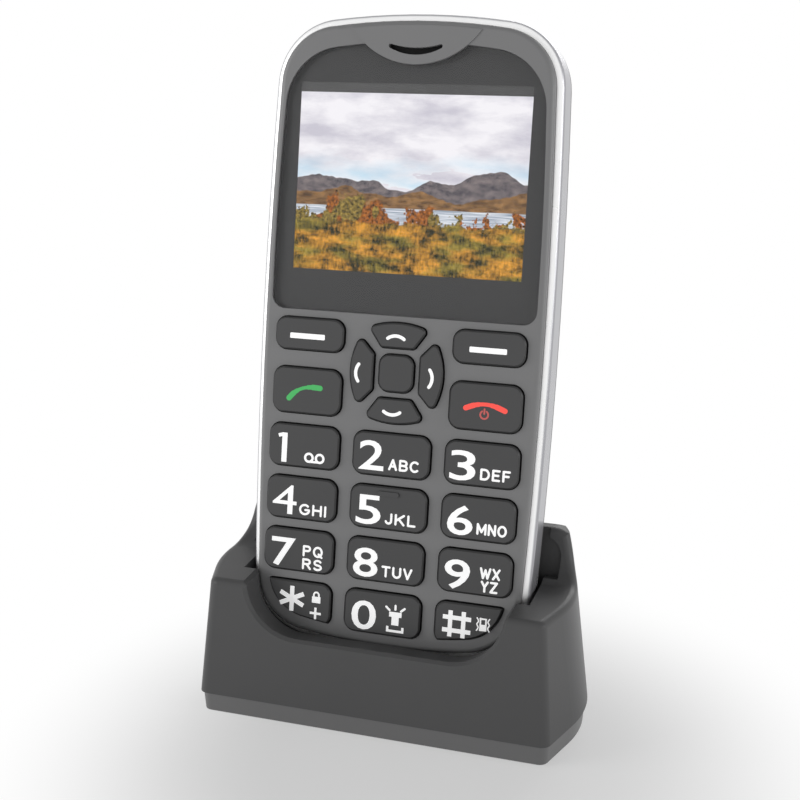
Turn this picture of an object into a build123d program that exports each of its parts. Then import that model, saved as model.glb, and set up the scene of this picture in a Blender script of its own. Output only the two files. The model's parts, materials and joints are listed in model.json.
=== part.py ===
from build123d import *
import math
import os

os.makedirs("parts", exist_ok=True)

# Millimetres. The dock stands on the XY plane with its front towards -Y, and the origin is the middle
# of its underside. The phone is drawn lying down in its own frame, with X to the right, Y up along its
# face from the bottom edge and Z out of the face, and is then leaned back into the dock.

# Clearances and overruns
cut_overrun = 2.0
seam_gap = 0.05
key_gap = 0.28
slide_gap = 0.05
stop_gap = 0.05
board_gap = 0.25
stand_gap = 0.4

# Phone: outline
side_crown = 1.5
end_crown = 3.0
corner_radius = 13.5
face_inset = 1.5
rim_depth = 1.9
rim_radius = 1.2
split_drop = 1.2
back_radius = 4.6
head_height = 5.9
chin_height = 4.49
cheek_width = 4.35

# Phone: front bezel
bezel_skin = 1.2
bezel_wall = 1.2
bezel_tuck = 0.7
bezel_round = 1.1
lens_side_inset = 3.1
lens_top_radius = 12.0
lens_bottom_radius = 2.8
lens_depth = 0.3
lens_thickness = 1.0
lens_ledge = 0.7
lens_wall = 0.8
apron_radius = 16.5
apron_drop = 4.4
apron_relief = 0.25
slot_half_width = 5.6
slot_drop = 0.3
slot_bow = 0.85
slot_height = 1.4
slot_end_height = 0.8
slot_round = 0.35
mesh_thickness = 0.35

# Phone: display
lcd_width = 53.0
lcd_height = 42.6
lcd_thickness = 1.6
lcd_side_margin = 4.8
lcd_sill = 5.3
lcd_brow = 6.85
picture_side_border = 2.1
picture_end_border = 3.2
picture_depth = 0.12

# Phone: keys
key_proud = 0.87
key_flange = 0.5
key_flange_thickness = 0.5
key_travel = 0.3
key_edge_bevel = 0.3
row_gap = 2.22
column_gap = 3.15
number_key_height = 8.9
number_key_radius = 2.3
foot_inset = 4.5
soft_key_gap = 3.75
soft_key_trim = 0.5
soft_key_height = 6.65
call_key_gap = 2.43
call_key_trim = 0.4
call_key_height = 9.55
call_key_radius = 2.4
lens_gap = 1.73
ok_key_width = 7.4
ok_key_height = 7.6
ok_key_radius = 2.2
petal_gap = 1.4
petal_length = 3.95
petal_bow = 1.2
petal_splay = 2.8
petal_trim = 0.2
side_petal_gap = 1.25
side_petal_length = 3.1
side_petal_bow = 1.9
side_petal_splay = 3.3
side_petal_trim = 0.1
nav_side_gap = 1.5
petal_round = 0.95
bar_width = 4.6
bar_height = 1.0
bar_proud = 0.3
bar_offset = 3.0

# Phone: inside
mat_margin = 0.8
dome_sheet_thickness = 0.15
dome_radius = 2.0
dome_height = 0.15
dome_sides = 8
dome_gap = 0.1
board_thickness = 0.9
part_gap = 0.4
floor_thickness = 1.0
housing_wall = 1.1
cover_wall = 1.1
cover_lip = 0.6
boss_radius = 1.6
rear_boss_radius = 2.1
screw_radius = 0.7
screw_head_radius = 1.45
screw_head_height = 0.7
screw_bite = 0.9
screw_upper_inset = 14.3
screw_upper_gap = 1.55
screw_middle_inset = 9.3
screw_middle_gap = 1.25
battery_width = 40.0
battery_height = 54.0
battery_thickness = 4.5
battery_room = 0.35
battery_gap = 2.8
battery_round = 2.0
terminal_width = 9.0
terminal_height = 3.2
terminal_reach = 5.6
terminal_blade = 1.2
terminal_pitch = 2.6
sim_width = 17.0
sim_height = 20.0
card_slot_height = 0.9
card_slot_width = 15.0
card_slot_depth = 16.7
speaker_radius = 9.0
speaker_height = 3.6
speaker_gap = 5.55
speaker_rim = 1.4
speaker_dish = 0.8
grille_slots = 5
grille_pitch = 2.6
grille_slot_width = 1.1
grille_slot_length = 12.0
receiver_width = 11.0
receiver_height = 5.4
receiver_thickness = 1.5
motor_radius = 4.0
motor_height = 2.1
motor_inset = 12.8
motor_lift = 2.55
microphone_inset = 14.3
microphone_y = 6.2
microphone_width = 3.4
microphone_height = 2.6
microphone_depth = 1.9
port_radius = 0.5
torch_radius = 1.2
torch_length = 6.0
torch_gap = 0.1
torch_proud = 0.3
torch_flange = 0.4
torch_flange_length = 1.0
usb_width = 7.6
usb_height = 2.7
usb_length = 5.4
usb_wall = 0.35
usb_tongue_width = 3.8
usb_tongue_height = 0.6
usb_setback = 0.5
pad_side_gap = 3.6
pad_width = 3.2
pad_height = 2.4
pad_thickness = 0.8
pad_drop = 0.4
antenna_side_inset = 8.3
antenna_height = 4.6
antenna_thickness = 2.2
antenna_y = 6.9
sos_gap = 7.2
sos_radius = 5.5
sos_flange = 0.8
sos_flange_thickness = 0.7
sos_proud = 0.5
sos_travel = 0.4
sos_stem_radius = 1.3
sos_edge_bevel = 0.3
switch_width = 4.6
switch_height = 0.9

# Dock: outer form
lean = 11.5
shoulder_width = 6.3
flank_swell = 4.5
seam_height = 4.75
front_draft = 7.2
side_draft = 6.6
back_draft = 10.0
dock_corner_radius = 2.2
phone_inset_y = 9.1
pocket_reach = 15.1
wing_height = 9.8
crest_shoulder = 4.5

# Shares of the dock's own depth and half width at which the sides of its plan would meet, and of its
# depth for the roundings there
flank_depth_share = 0.436
flank_width_share = 1.025
tail_width_share = 0.857
flank_round_share = 0.64
tail_round_share = 0.284

# Dock: scoop, pocket and raised back
dock_wall = 2.2
pocket_wall = 1.8
pocket_side_gap = 0.8
pocket_front_gap = 1.5
scoop_side_inset = 3.6
scoop_rise = 4.9
scoop_radius = 11.5
scoop_dip = 14.0
shelf_cove = 6.5
dish_relief = 0.9
dish_margin = 2.9
dish_crest = 1.7
dish_radius = 4.2
wing_rim = 1.9
wing_radius = 6.0
crest_width = 2.2
crest_fall = 38.0
top_round = 1.5
crest_round = 0.8
scoop_bevel = 0.7

# Dock: base, sole and fixings
base_inset = 0.5
base_draft = 4.0
base_floor = 1.8
base_rim = 1.6
sole_side_inset = 10.6
sole_end_inset = 8.1
sole_radius = 6.0
sole_thickness = 1.2
foot_proud = 0.4
dock_boss_radius = 2.7
dock_screw_radius = 1.2
dock_screw_head_radius = 2.3
dock_screw_head_height = 1.4
dock_screw_length = 8.4
dock_screw_front_inset = 3.3
dock_screw_front_y = 7.0
dock_screw_back_inset = 6.6
dock_screw_tail_inset = 10.0
dock_board_width = 30.0
dock_board_thickness = 1.2
dock_board_front_y = 8.0
post_height = 4.4
post_radius = 1.8
post_inset = 2.6
pin_block_half_depth = 3.0
pin_block_overhang = 3.0
pin_block_floor = 1.21
pin_radius = 0.6
pin_barrel_radius = 1.0
pin_barrel_length = 2.6
pin_barrel_floor = 0.4
pin_travel = 0.8
pin_hole_gap = 0.3
pin_contact_gap = 0.03

# Depths below the phone's face, as levels of Z
lens_under = -lens_depth - lens_thickness
lcd_top = lens_under - seam_gap
lcd_bottom = lcd_top - lcd_thickness
board_top = lcd_bottom - seam_gap
board_bottom = board_top - board_thickness
bezel_low = board_bottom - bezel_tuck
floor_top = board_bottom - motor_height - part_gap
floor_bottom = floor_top - floor_thickness
cover_split = floor_bottom - split_drop
cover_inside = floor_bottom - seam_gap - battery_thickness - battery_room
phone_thickness = cover_wall - cover_inside
flange_top = -bezel_skin - stop_gap
flange_bottom = flange_top - key_flange_thickness
mat_top = flange_bottom - key_travel - stop_gap
mat_bottom = board_top + dome_sheet_thickness + dome_height + dome_gap
usb_level = bezel_low - seam_gap - usb_height / 2
pad_level = bezel_low - pad_drop - pad_height / 2
torch_level = bezel_low - torch_gap - torch_radius - torch_flange

# Across the phone
phone_width = lcd_width + 2 * lcd_side_margin
nav_half_width = ok_key_width / 2 + side_petal_gap + side_petal_length + side_petal_bow
middle_key_width = 2 * (nav_half_width + nav_side_gap - column_gap)
side_key_width = (phone_width - middle_key_width) / 2 - column_gap - cheek_width
side_column_x = middle_key_width / 2 + column_gap + side_key_width / 2
picture_width = lcd_width - 2 * picture_side_border
picture_height = lcd_height - 2 * picture_end_border
pad_x = usb_width / 2 + pad_side_gap + pad_width / 2
bezel_inset = face_inset + seam_gap
board_inset = bezel_inset + bezel_wall + board_gap

# Up the phone's face, from the bottom edge
key_pitch = number_key_height + row_gap
key_row_one_y = chin_height + 3 * key_pitch + number_key_height / 2
call_key_low = key_row_one_y + number_key_height / 2 + call_key_gap
call_key_y = call_key_low + call_key_height / 2
soft_key_y = call_key_low + call_key_height + soft_key_gap + soft_key_height / 2
soft_key_high = soft_key_y + soft_key_height / 2
nav_y = (call_key_low + soft_key_high) / 2
lens_bottom = soft_key_high + lens_gap
lcd_centre_y = lens_bottom + lcd_sill + lcd_height / 2
lens_top = lens_bottom + lcd_sill + lcd_height + lcd_brow
phone_length = lens_top + head_height
receiver_y = lcd_centre_y + lcd_height / 2 + receiver_height / 2 + board_gap
screw_places = [
    (side * x, y)
    for side in (-1, 1)
    for x, y in (
        (phone_width / 2 - screw_upper_inset,
         lcd_centre_y + lcd_height / 2 + screw_upper_gap + boss_radius),
        (phone_width / 2 - screw_middle_inset,
         lcd_centre_y - lcd_height / 2 - screw_middle_gap - boss_radius),
        ((middle_key_width + column_gap) / 2, chin_height + number_key_height + row_gap / 2),
    )
]

# Up the phone's back, from the bottom edge
battery_bottom_y = antenna_y + antenna_height / 2 + battery_gap
battery_middle_y = battery_bottom_y + battery_height / 2
battery_top_y = battery_bottom_y + battery_height
terminal_y = battery_top_y + board_gap + terminal_height / 2
speaker_y = terminal_y + terminal_height / 2 + speaker_gap + speaker_radius
sos_y = speaker_y + speaker_radius + sos_gap + sos_radius + sos_flange
motor_x = phone_width / 2 - motor_inset
microphone_x = phone_width / 2 - microphone_inset
motor_y = lcd_centre_y + motor_lift

# The dock, up from the surface that it stands on
rise_share = math.cos(math.radians(lean))
back_share = math.sin(math.radians(lean))
lean_slope = math.tan(math.radians(lean))
dock_board_rise = foot_proud + base_floor + post_height
dock_board_top = dock_board_rise + dock_board_thickness
pocket_floor = -stand_gap
barrel_top = pocket_floor - pocket_wall - seam_gap
barrel_low = barrel_top - pin_barrel_length
phone_rise = dock_board_top + pin_block_floor - barrel_low * rise_share - pad_level * back_share
shelf_height = phone_rise + pocket_reach
dock_top = shelf_height + wing_height
scoop_bottom = phone_rise + scoop_rise

# The dock, across and from front to back
dock_front_width = phone_width + 2 * shoulder_width
dock_width = dock_front_width + 2 * flank_swell
scoop_half_width = phone_width / 2 - scoop_side_inset
dish_half_width = phone_width / 2 + dish_margin
dish_depth = phone_thickness + pocket_side_gap
dish_y = phone_inset_y + dish_depth / rise_share
crest_y = dish_y + (dock_top - phone_rise) * lean_slope + crest_width
back_lean = (dock_top - seam_height) * math.tan(math.radians(back_draft))
dock_depth = crest_y + crest_shoulder + back_lean
sole_width = dock_front_width - 2 * sole_side_inset
sole_depth = dock_depth - 2 * sole_end_inset
shelf_front_y = (shelf_height - seam_height) * math.tan(math.radians(front_draft))


def slab(face, low, high):
    """The face, raised from one level to another"""
    return extrude(Pos(0, 0, low) * face, high - low, dir=(0, 0, 1))


def rod(radius, low, high, x=0.0, y=0.0):
    """An upright round bar between two levels"""
    return Pos(x, y, (low + high) / 2) * Cylinder(radius, high - low)


def block(x_low, x_high, y_low, y_high, z_low, z_high):
    """A plain box given by its faces"""
    size = (x_high - x_low, y_high - y_low, z_high - z_low)
    middle = ((x_low + x_high) / 2, (y_low + y_high) / 2, (z_low + z_high) / 2)
    return Pos(*middle) * Box(*size)


def both_sides(shape):
    """The shape and its mirror image across the middle plane, as one group of solids"""
    return Compound(children=[shape, mirror(shape, about=Plane.YZ)])


def phone_outline(inset):
    """Front outline of the phone, drawn in all round by the inset"""
    half_width = phone_width / 2 - inset
    end_half_width = half_width - side_crown
    low = inset
    high = phone_length - inset
    middle = phone_length / 2
    corners = [
        (end_half_width, low + end_crown),
        (end_half_width, high - end_crown),
        (-end_half_width, high - end_crown),
        (-end_half_width, low + end_crown),
    ]
    sides = [
        ThreePointArc(corners[0], (half_width, middle), corners[1]),
        ThreePointArc(corners[1], (0, high), corners[2]),
        ThreePointArc(corners[2], (-half_width, middle), corners[3]),
        ThreePointArc(corners[3], (0, low), corners[0]),
    ]
    face = make_face(Curve() + sides)
    return fillet(face.vertices(), corner_radius - inset)


def lens_outline(gap):
    """Outline of the display window, drawn in by the gap, with the earpiece apron left out of it"""
    middle = phone_length / 2
    half_width = phone_width / 2 - lens_side_inset - gap
    top_half_width = half_width - side_crown
    high = lens_top - gap
    low = lens_bottom + gap
    corners = [(half_width, low), (top_half_width, high - end_crown)]
    waist = (half_width - side_crown * ((high - middle) / phone_length) ** 2, (low + high) / 2)
    sides = [
        Line((-corners[0][0], low), corners[0]),
        ThreePointArc(corners[0], waist, corners[1]),
        ThreePointArc(corners[1], (0, high), (-corners[1][0], corners[1][1])),
        ThreePointArc((-corners[1][0], corners[1][1]), (-waist[0], waist[1]), (-corners[0][0], low)),
    ]
    face = make_face(Curve() + sides)
    upper = face.vertices().sort_by(Axis.Y)[-2:]
    face = fillet(upper, lens_top_radius - gap)
    lower = face.vertices().sort_by(Axis.Y)[:2]
    face = fillet(lower, lens_bottom_radius - gap)
    return face - Pos(0, lens_top - apron_drop + apron_radius) * Circle(apron_radius + seam_gap + gap)


def apron_face():
    """The disc segment that carries the earpiece slot above the display"""
    disc = Pos(0, lens_top - apron_drop + apron_radius) * Circle(apron_radius)
    return disc & phone_outline(face_inset + bezel_round)


def slot_outline(gap):
    """The smile-shaped earpiece slot, drawn in by the gap"""
    end_y = lens_top - slot_drop - gap
    upper_y = lens_top - slot_drop - slot_bow
    left = (-slot_half_width + gap, end_y)
    right = (slot_half_width - gap, end_y)
    foot_y = end_y - slot_end_height + 2 * gap
    edges = [
        ThreePointArc(left, (0, upper_y - gap), right),
        Line(right, (right[0], foot_y)),
        ThreePointArc((right[0], foot_y), (0, upper_y - slot_height + gap), (left[0], foot_y)),
        Line((left[0], foot_y), left),
    ]
    face = make_face(Curve() + edges)
    return fillet(face.vertices(), slot_round - gap)


def nav_petal(inner, inner_half, length, splay, bow):
    """One arm of the four-way key, pointing up from the middle of the pad"""
    tip = (inner_half + splay, inner + length)
    edges = [
        Line((-inner_half, inner), (inner_half, inner)),
        Line((inner_half, inner), tip),
        ThreePointArc(tip, (0, inner + length + bow), (-tip[0], tip[1])),
        Line((-tip[0], tip[1]), (-inner_half, inner)),
    ]
    face = make_face(Curve() + edges)
    return fillet(face.vertices(), petal_round)


def key_faces():
    """Outline of every key cap, by node name"""
    faces = {}
    for side, name in ((-1, "left"), (1, "right")):
        soft = RectangleRounded(side_key_width - soft_key_trim, soft_key_height, number_key_radius)
        faces["key_soft_" + name] = Pos(side * side_column_x, soft_key_y) * soft
    call = RectangleRounded(side_key_width - call_key_trim, call_key_height, call_key_radius)
    faces["key_call"] = Pos(-side_column_x, call_key_y) * call
    faces["key_end"] = Pos(side_column_x, call_key_y) * call
    upright = nav_petal(ok_key_height / 2 + petal_gap, ok_key_width / 2 - petal_trim, petal_length,
                        petal_splay, petal_bow)
    sideways = nav_petal(ok_key_width / 2 + side_petal_gap, ok_key_height / 2 - side_petal_trim,
                         side_petal_length, side_petal_splay, side_petal_bow)
    faces["key_up"] = Pos(0, nav_y) * upright
    faces["key_down"] = Pos(0, nav_y) * Rot(0, 0, 180) * upright
    faces["key_left"] = Pos(0, nav_y) * Rot(0, 0, 90) * sideways
    faces["key_right"] = Pos(0, nav_y) * Rot(0, 0, -90) * sideways
    faces["key_ok"] = Pos(0, nav_y) * RectangleRounded(ok_key_width, ok_key_height, ok_key_radius)
    foot = phone_outline(foot_inset)
    names = ["1", "2", "3", "4", "5", "6", "7", "8", "9", "star", "0", "hash"]
    for index, name in enumerate(names):
        row, column = divmod(index, 3)
        width = middle_key_width if column == 1 else side_key_width
        cap = RectangleRounded(width, number_key_height, number_key_radius)
        cap = Pos((column - 1) * side_column_x, key_row_one_y - row * key_pitch) * cap
        trimmed = row == 3 and column != 1
        faces["key_" + name] = cap & foot if trimmed else cap
    faces["key_star"] = mirror(faces["key_hash"].face(), about=Plane.YZ)
    return faces


def grown(face, amount):
    """The face, let out all round"""
    return offset(face, amount, kind=Kind.ARC)


def make_keys(faces):
    """Key caps, each with a hidden flange that keeps it under the bezel"""
    keys = {}
    for name, face in faces.items():
        cap = slab(face, flange_top, key_proud)
        cap = chamfer(cap.edges().group_by(Axis.Z)[-1], key_edge_bevel)
        foot = slab(grown(face, key_flange), flange_bottom, flange_top)
        keys[name] = cap + foot
    bar = RectangleRounded(bar_width, bar_height, bar_height / 2 - seam_gap)
    bar = slab(Pos(0, key_row_one_y - key_pitch + bar_offset) * bar, 0, key_proud + bar_proud)
    keys["key_5"] = keys["key_5"] + bar
    return keys


def make_front_bezel(faces):
    """Dark front moulding: face skin, side wall, display frame, earpiece apron and screw bosses"""
    body = slab(phone_outline(bezel_inset), bezel_low, 0)
    body = fillet(body.edges().group_by(Axis.Z)[-1], bezel_round)
    hollow = slab(phone_outline(bezel_inset + bezel_wall), bezel_low - cut_overrun, -bezel_skin)
    body = body - hollow
    tub = slab(lens_outline(-seam_gap - lens_wall), lens_under - lens_ledge, -bezel_skin)
    body = body + (tub & slab(phone_outline(bezel_inset + bezel_wall / 2), bezel_low, 0))
    for x, y in screw_places:
        body = body + rod(boss_radius, board_top + seam_gap, -bezel_skin, x, y)
        body = body - rod(screw_radius + seam_gap, bezel_low, board_top + screw_bite + seam_gap, x, y)
    body = body - slab(lens_outline(-seam_gap), lens_under, cut_overrun)
    body = body + slab(apron_face(), -bezel_skin, apron_relief)
    window = Pos(0, lcd_centre_y) * Rectangle(lcd_width + 2 * seam_gap, lcd_height + 2 * seam_gap)
    body = body - slab(window, bezel_low, -bezel_skin)
    for face in faces.values():
        body = body - slab(grown(face, key_gap), -bezel_skin - cut_overrun, cut_overrun)
    receiver = Pos(0, receiver_y) * Rectangle(receiver_width + 2 * seam_gap,
                                                receiver_height + 2 * seam_gap)
    body = body - slab(receiver, bezel_low, -bezel_skin)
    return body - slab(slot_outline(0), bezel_low, cut_overrun)


def make_display_lens():
    """Clear window over the display"""
    return slab(lens_outline(0), lens_under, -lens_depth)


def make_lcd_module():
    """Display module with the active area set a little below its frame"""
    frame = slab(Pos(0, lcd_centre_y) * Rectangle(lcd_width, lcd_height), lcd_bottom, lcd_top)
    picture = Pos(0, lcd_centre_y) * Rectangle(picture_width, picture_height)
    return frame - slab(picture, lcd_top - picture_depth, lcd_top + cut_overrun)


def make_earpiece_mesh():
    """Fine mesh strip that closes the slot from inside"""
    return slab(slot_outline(seam_gap), -bezel_skin, -bezel_skin + mesh_thickness)


def make_earpiece_receiver():
    """Flat receiver behind the slot"""
    top = lens_under - seam_gap
    can = Pos(0, receiver_y) * RectangleRounded(receiver_width, receiver_height, receiver_height / 4)
    return slab(can, top - receiver_thickness, top)


def make_keypad_mat():
    """Rubber mat under all the keys"""
    face = phone_outline(board_inset)
    limit = Rectangle(phone_width, soft_key_high + mat_margin, align=(Align.CENTER, Align.MIN))
    mat = slab(face & limit, mat_bottom, mat_top)
    for x, y in screw_places:
        mat = mat - rod(boss_radius + board_gap, mat_bottom - cut_overrun, mat_top + cut_overrun, x, y)
    return mat


def make_dome_sheet(faces):
    """Contact sheet with one snap dome under each key"""
    face = phone_outline(board_inset)
    limit = Rectangle(phone_width, soft_key_high + mat_margin, align=(Align.CENTER, Align.MIN))
    top = board_top + dome_sheet_thickness
    sheet = slab(face & limit, board_top, top)
    for x, y in screw_places:
        sheet = sheet - rod(boss_radius + board_gap, board_top - cut_overrun, top + cut_overrun, x, y)
    for outline in faces.values():
        spot = outline.bounding_box().center()
        dome = Pos(spot.X, spot.Y) * RegularPolygon(dome_radius, dome_sides)
        sheet = sheet + slab(dome, board_top, top + dome_height)
    return sheet


def make_main_board():
    """Circuit board, with holes for the fixing screws"""
    board = slab(phone_outline(board_inset), board_bottom, board_top)
    for x, y in screw_places:
        board = board - rod(screw_radius + seam_gap, board_bottom - cut_overrun, board_top + cut_overrun,
                            x, y)
    return board


def make_microphone():
    """Microphone can on the back of the board, beside its port"""
    low = board_bottom - microphone_depth
    face = Pos(microphone_x, microphone_y) * Rectangle(microphone_width, microphone_height)
    return slab(face, low, board_bottom)


def make_vibration_motor():
    """Coin motor on the back of the board"""
    motor = rod(motor_radius, board_bottom - motor_height, board_bottom, motor_x, motor_y)
    return chamfer(motor.edges().group_by(Axis.Z)[0], motor_height / 8)


def usb_socket():
    """Socket shell with its mouth towards -Y at y = 0, centred on the X axis"""
    shell = block(-usb_width / 2, usb_width / 2, 0, usb_length, -usb_height / 2, usb_height / 2)
    bore = block(-usb_width / 2 + usb_wall, usb_width / 2 - usb_wall, -cut_overrun, usb_length - usb_wall,
                 -usb_height / 2 + usb_wall, usb_height / 2 - usb_wall)
    tongue = block(-usb_tongue_width / 2, usb_tongue_width / 2, usb_wall, usb_length,
                   -usb_tongue_height / 2, usb_tongue_height / 2)
    return (shell - bore) + tongue


def usb_hollow(reach):
    """The room that a socket needs in the wall that it looks out of"""
    half = usb_width / 2 + seam_gap
    rise = usb_height / 2 + seam_gap
    return block(-half, half, -reach, usb_length + seam_gap, -rise, rise)


def charge_pad_blank(gap):
    """One charging pad in the bottom edge, let out by the gap"""
    drop = pad_sag() + seam_gap
    return block(pad_x - pad_width / 2 - gap, pad_x + pad_width / 2 + gap,
                 drop - gap, drop + pad_thickness + gap,
                 pad_level - pad_height / 2 - gap, pad_level + pad_height / 2 + gap)


def pad_sag():
    """How far the crowned bottom edge has risen at the inner end of a pad"""
    return end_crown * ((pad_x - pad_width / 2) / (phone_width / 2 - side_crown)) ** 2


def make_charge_pads():
    """Two gold pads flush in the bottom edge"""
    return both_sides(charge_pad_blank(0))


def make_rear_housing():
    """Silver frame with its bright rim, and the floor that parts board from battery"""
    body = slab(phone_outline(0), cover_split, -rim_depth)
    body = fillet(body.edges().group_by(Axis.Z)[-1], rim_radius)
    body = body - slab(phone_outline(face_inset), bezel_low - seam_gap, cut_overrun)
    inner = phone_outline(face_inset + housing_wall)
    body = body - slab(inner, floor_top, cut_overrun)
    body = body - slab(inner, cover_split - cut_overrun, floor_bottom)
    for x, y in screw_places:
        body = body + rod(rear_boss_radius, floor_bottom, board_bottom - seam_gap, x, y)
        body = body - rod(screw_radius + seam_gap, floor_bottom - cut_overrun, cut_overrun, x, y)
        head_top = floor_bottom + screw_head_height + seam_gap
        body = body - rod(screw_head_radius + seam_gap, floor_bottom - cut_overrun, head_top, x, y)
    body = body - Pos(0, usb_setback, usb_level) * usb_hollow(cut_overrun)
    for side in (1, -1):
        pad = charge_pad_blank(seam_gap)
        mouth = block(pad_x - pad_width / 2 - seam_gap, pad_x + pad_width / 2 + seam_gap,
                      -cut_overrun, pad_sag() + pad_thickness,
                      pad_level - pad_height / 2 - seam_gap, pad_level + pad_height / 2 + seam_gap)
        cut = pad + mouth
        body = body - (cut if side > 0 else mirror(cut, about=Plane.YZ))
    body = body - torch_blank(seam_gap)
    port_z = board_bottom - microphone_depth / 2 - port_radius
    port = Pos(microphone_x, 0, port_z) * Rot(90, 0, 0) * Cylinder(port_radius, 2 * microphone_y)
    body = body - port
    sim = Pos(0, battery_middle_y) * Rectangle(sim_width + 2 * seam_gap, sim_height + 2 * seam_gap)
    body = body - slab(sim, floor_bottom - cut_overrun, floor_top + cut_overrun)
    body = body - slab(terminal_face(seam_gap), floor_bottom - cut_overrun, floor_top + cut_overrun)
    return body - rod(sos_stem_radius + key_gap, floor_bottom - cut_overrun, floor_top + cut_overrun,
                      0, sos_y)


def torch_blank(gap):
    """Round torch lens through the top edge, with a flange inside the wall, let out by the gap"""
    top = phone_length + torch_proud
    barrel = Pos(0, top - torch_length / 2, torch_level) * Rot(90, 0, 0) * Cylinder(
        torch_radius + gap, torch_length)
    inner_face = phone_length - face_inset - housing_wall
    middle = inner_face - torch_flange_length / 2 - seam_gap
    collar = Pos(0, middle, torch_level) * Rot(90, 0, 0) * Cylinder(torch_radius + torch_flange + gap,
                                                                      torch_flange_length)
    return barrel + collar


def make_torch_lens():
    """Torch lens with its light source behind it"""
    lens = torch_blank(0)
    outer = lens.edges().filter_by(GeomType.CIRCLE).sort_by(Axis.Y)[-1]
    return chamfer(outer, torch_proud / 2)


def terminal_face(gap):
    """Plan of the battery contact block, just above the battery"""
    return Pos(0, terminal_y) * Rectangle(terminal_width + 2 * gap, terminal_height + 2 * gap)


def make_battery_terminals():
    """Contact block with three spring blades that press on the battery"""
    body = slab(terminal_face(0), board_bottom - terminal_reach, board_bottom)
    for index in (-1, 0, 1):
        x = index * terminal_pitch
        low = floor_bottom - terminal_blade
        body = body + block(x - terminal_blade / 2, x + terminal_blade / 2,
                            battery_top_y + seam_gap, terminal_y, low, floor_bottom)
    return body


def make_sim_holder():
    """Card holder on the back of the board, reached from the battery bay"""
    low = floor_bottom
    body = slab(Pos(0, battery_middle_y) * Rectangle(sim_width, sim_height), low, board_bottom)
    edge = battery_middle_y - sim_height / 2
    slot = block(-card_slot_width / 2, card_slot_width / 2, edge - cut_overrun, edge + card_slot_depth,
                 low + card_slot_height / 2, low + 3 * card_slot_height / 2)
    return body - slot


def make_battery():
    """Flat removable cell"""
    high = floor_bottom - seam_gap
    face = RectangleRounded(battery_width, battery_height, battery_round)
    face = Pos(0, battery_middle_y) * face
    cell = slab(face, high - battery_thickness, high)
    ends = cell.edges().group_by(Axis.Z)
    return chamfer(ends[0] + ends[-1], battery_round / 4)


def make_loudspeaker():
    """Round speaker on the back of the floor, facing the grille"""
    high = floor_bottom
    low = high - speaker_height
    can = rod(speaker_radius, low, high, 0, speaker_y)
    return can - rod(speaker_radius - speaker_rim, low - cut_overrun, low + speaker_dish, 0, speaker_y)


def make_antenna():
    """Antenna carrier along the bottom, behind the floor"""
    face = Pos(0, antenna_y) * Rectangle(phone_width - 2 * antenna_side_inset, antenna_height)
    body = slab(face & phone_outline(bezel_inset + bezel_wall + housing_wall),
                floor_bottom - antenna_thickness, floor_bottom)
    return body - Pos(0, usb_setback, usb_level) * usb_hollow(cut_overrun)


def make_sos_button():
    """Call-for-help button in the back cover, with a stem that reaches the switch"""
    outside = -phone_thickness - sos_proud
    flange_low = cover_inside + stop_gap
    flange_high = flange_low + sos_flange_thickness
    cap = rod(sos_radius, outside, flange_low, 0, sos_y)
    cap = chamfer(cap.edges().group_by(Axis.Z)[0], sos_edge_bevel)
    flange = rod(sos_radius + sos_flange, flange_low, flange_high, 0, sos_y)
    switch_face = board_bottom - switch_height
    stem = rod(sos_stem_radius, flange_high, switch_face - sos_travel - stop_gap, 0, sos_y)
    return cap + flange + stem


def make_sos_switch():
    """Small switch on the back of the board under the stem"""
    face = Pos(0, sos_y) * Rectangle(switch_width, switch_width)
    return slab(face, board_bottom - switch_height, board_bottom)


def make_back_cover():
    """Rounded back cover with speaker grille, button hole and a locating lip"""
    body = slab(phone_outline(0), -phone_thickness, cover_split - seam_gap)
    body = fillet(body.edges().group_by(Axis.Z)[0], back_radius)
    hollow = slab(phone_outline(cover_wall + housing_wall), cover_inside, cut_overrun)
    hollow = chamfer(hollow.edges().group_by(Axis.Z)[0], back_radius / 2)
    body = body - hollow
    lip_inset = face_inset + housing_wall + seam_gap
    lip = slab(phone_outline(lip_inset), cover_split - cover_lip, cover_split + cover_lip)
    root = phone_outline(cover_wall + housing_wall - seam_gap)
    lip = lip + slab(root, cover_split - cover_lip, cover_split - seam_gap)
    lip = lip - slab(phone_outline(lip_inset + cover_lip), cover_split - cover_lip - cut_overrun,
                     cut_overrun)
    body = body + lip
    for index in range(grille_slots):
        shift = (index - (grille_slots - 1) / 2) * grille_pitch
        slot = SlotOverall(grille_slot_length, grille_slot_width)
        body = body - slab(Pos(0, speaker_y + shift) * slot, -phone_thickness - cut_overrun,
                           cover_inside + cut_overrun)
    return body - rod(sos_radius + key_gap, -phone_thickness - cut_overrun, cover_inside + cut_overrun,
                      0, sos_y)


def make_housing_screws():
    """Six screws that pull the rear housing to the bezel"""
    screws = []
    for x, y in screw_places:
        head = rod(screw_head_radius, floor_bottom, floor_bottom + screw_head_height, x, y)
        shank = rod(screw_radius, floor_bottom + screw_head_height, board_top + screw_bite, x, y)
        screws.append(head + shank)
    return Compound(children=screws)


# Where the phone stands in the dock, with the front edge of the dock at y = 0
phone_place = Pos(0, phone_inset_y, phone_rise) * Rot(90 - lean, 0, 0)
dock_shift = Pos(0, -dock_depth / 2, 0)


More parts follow.
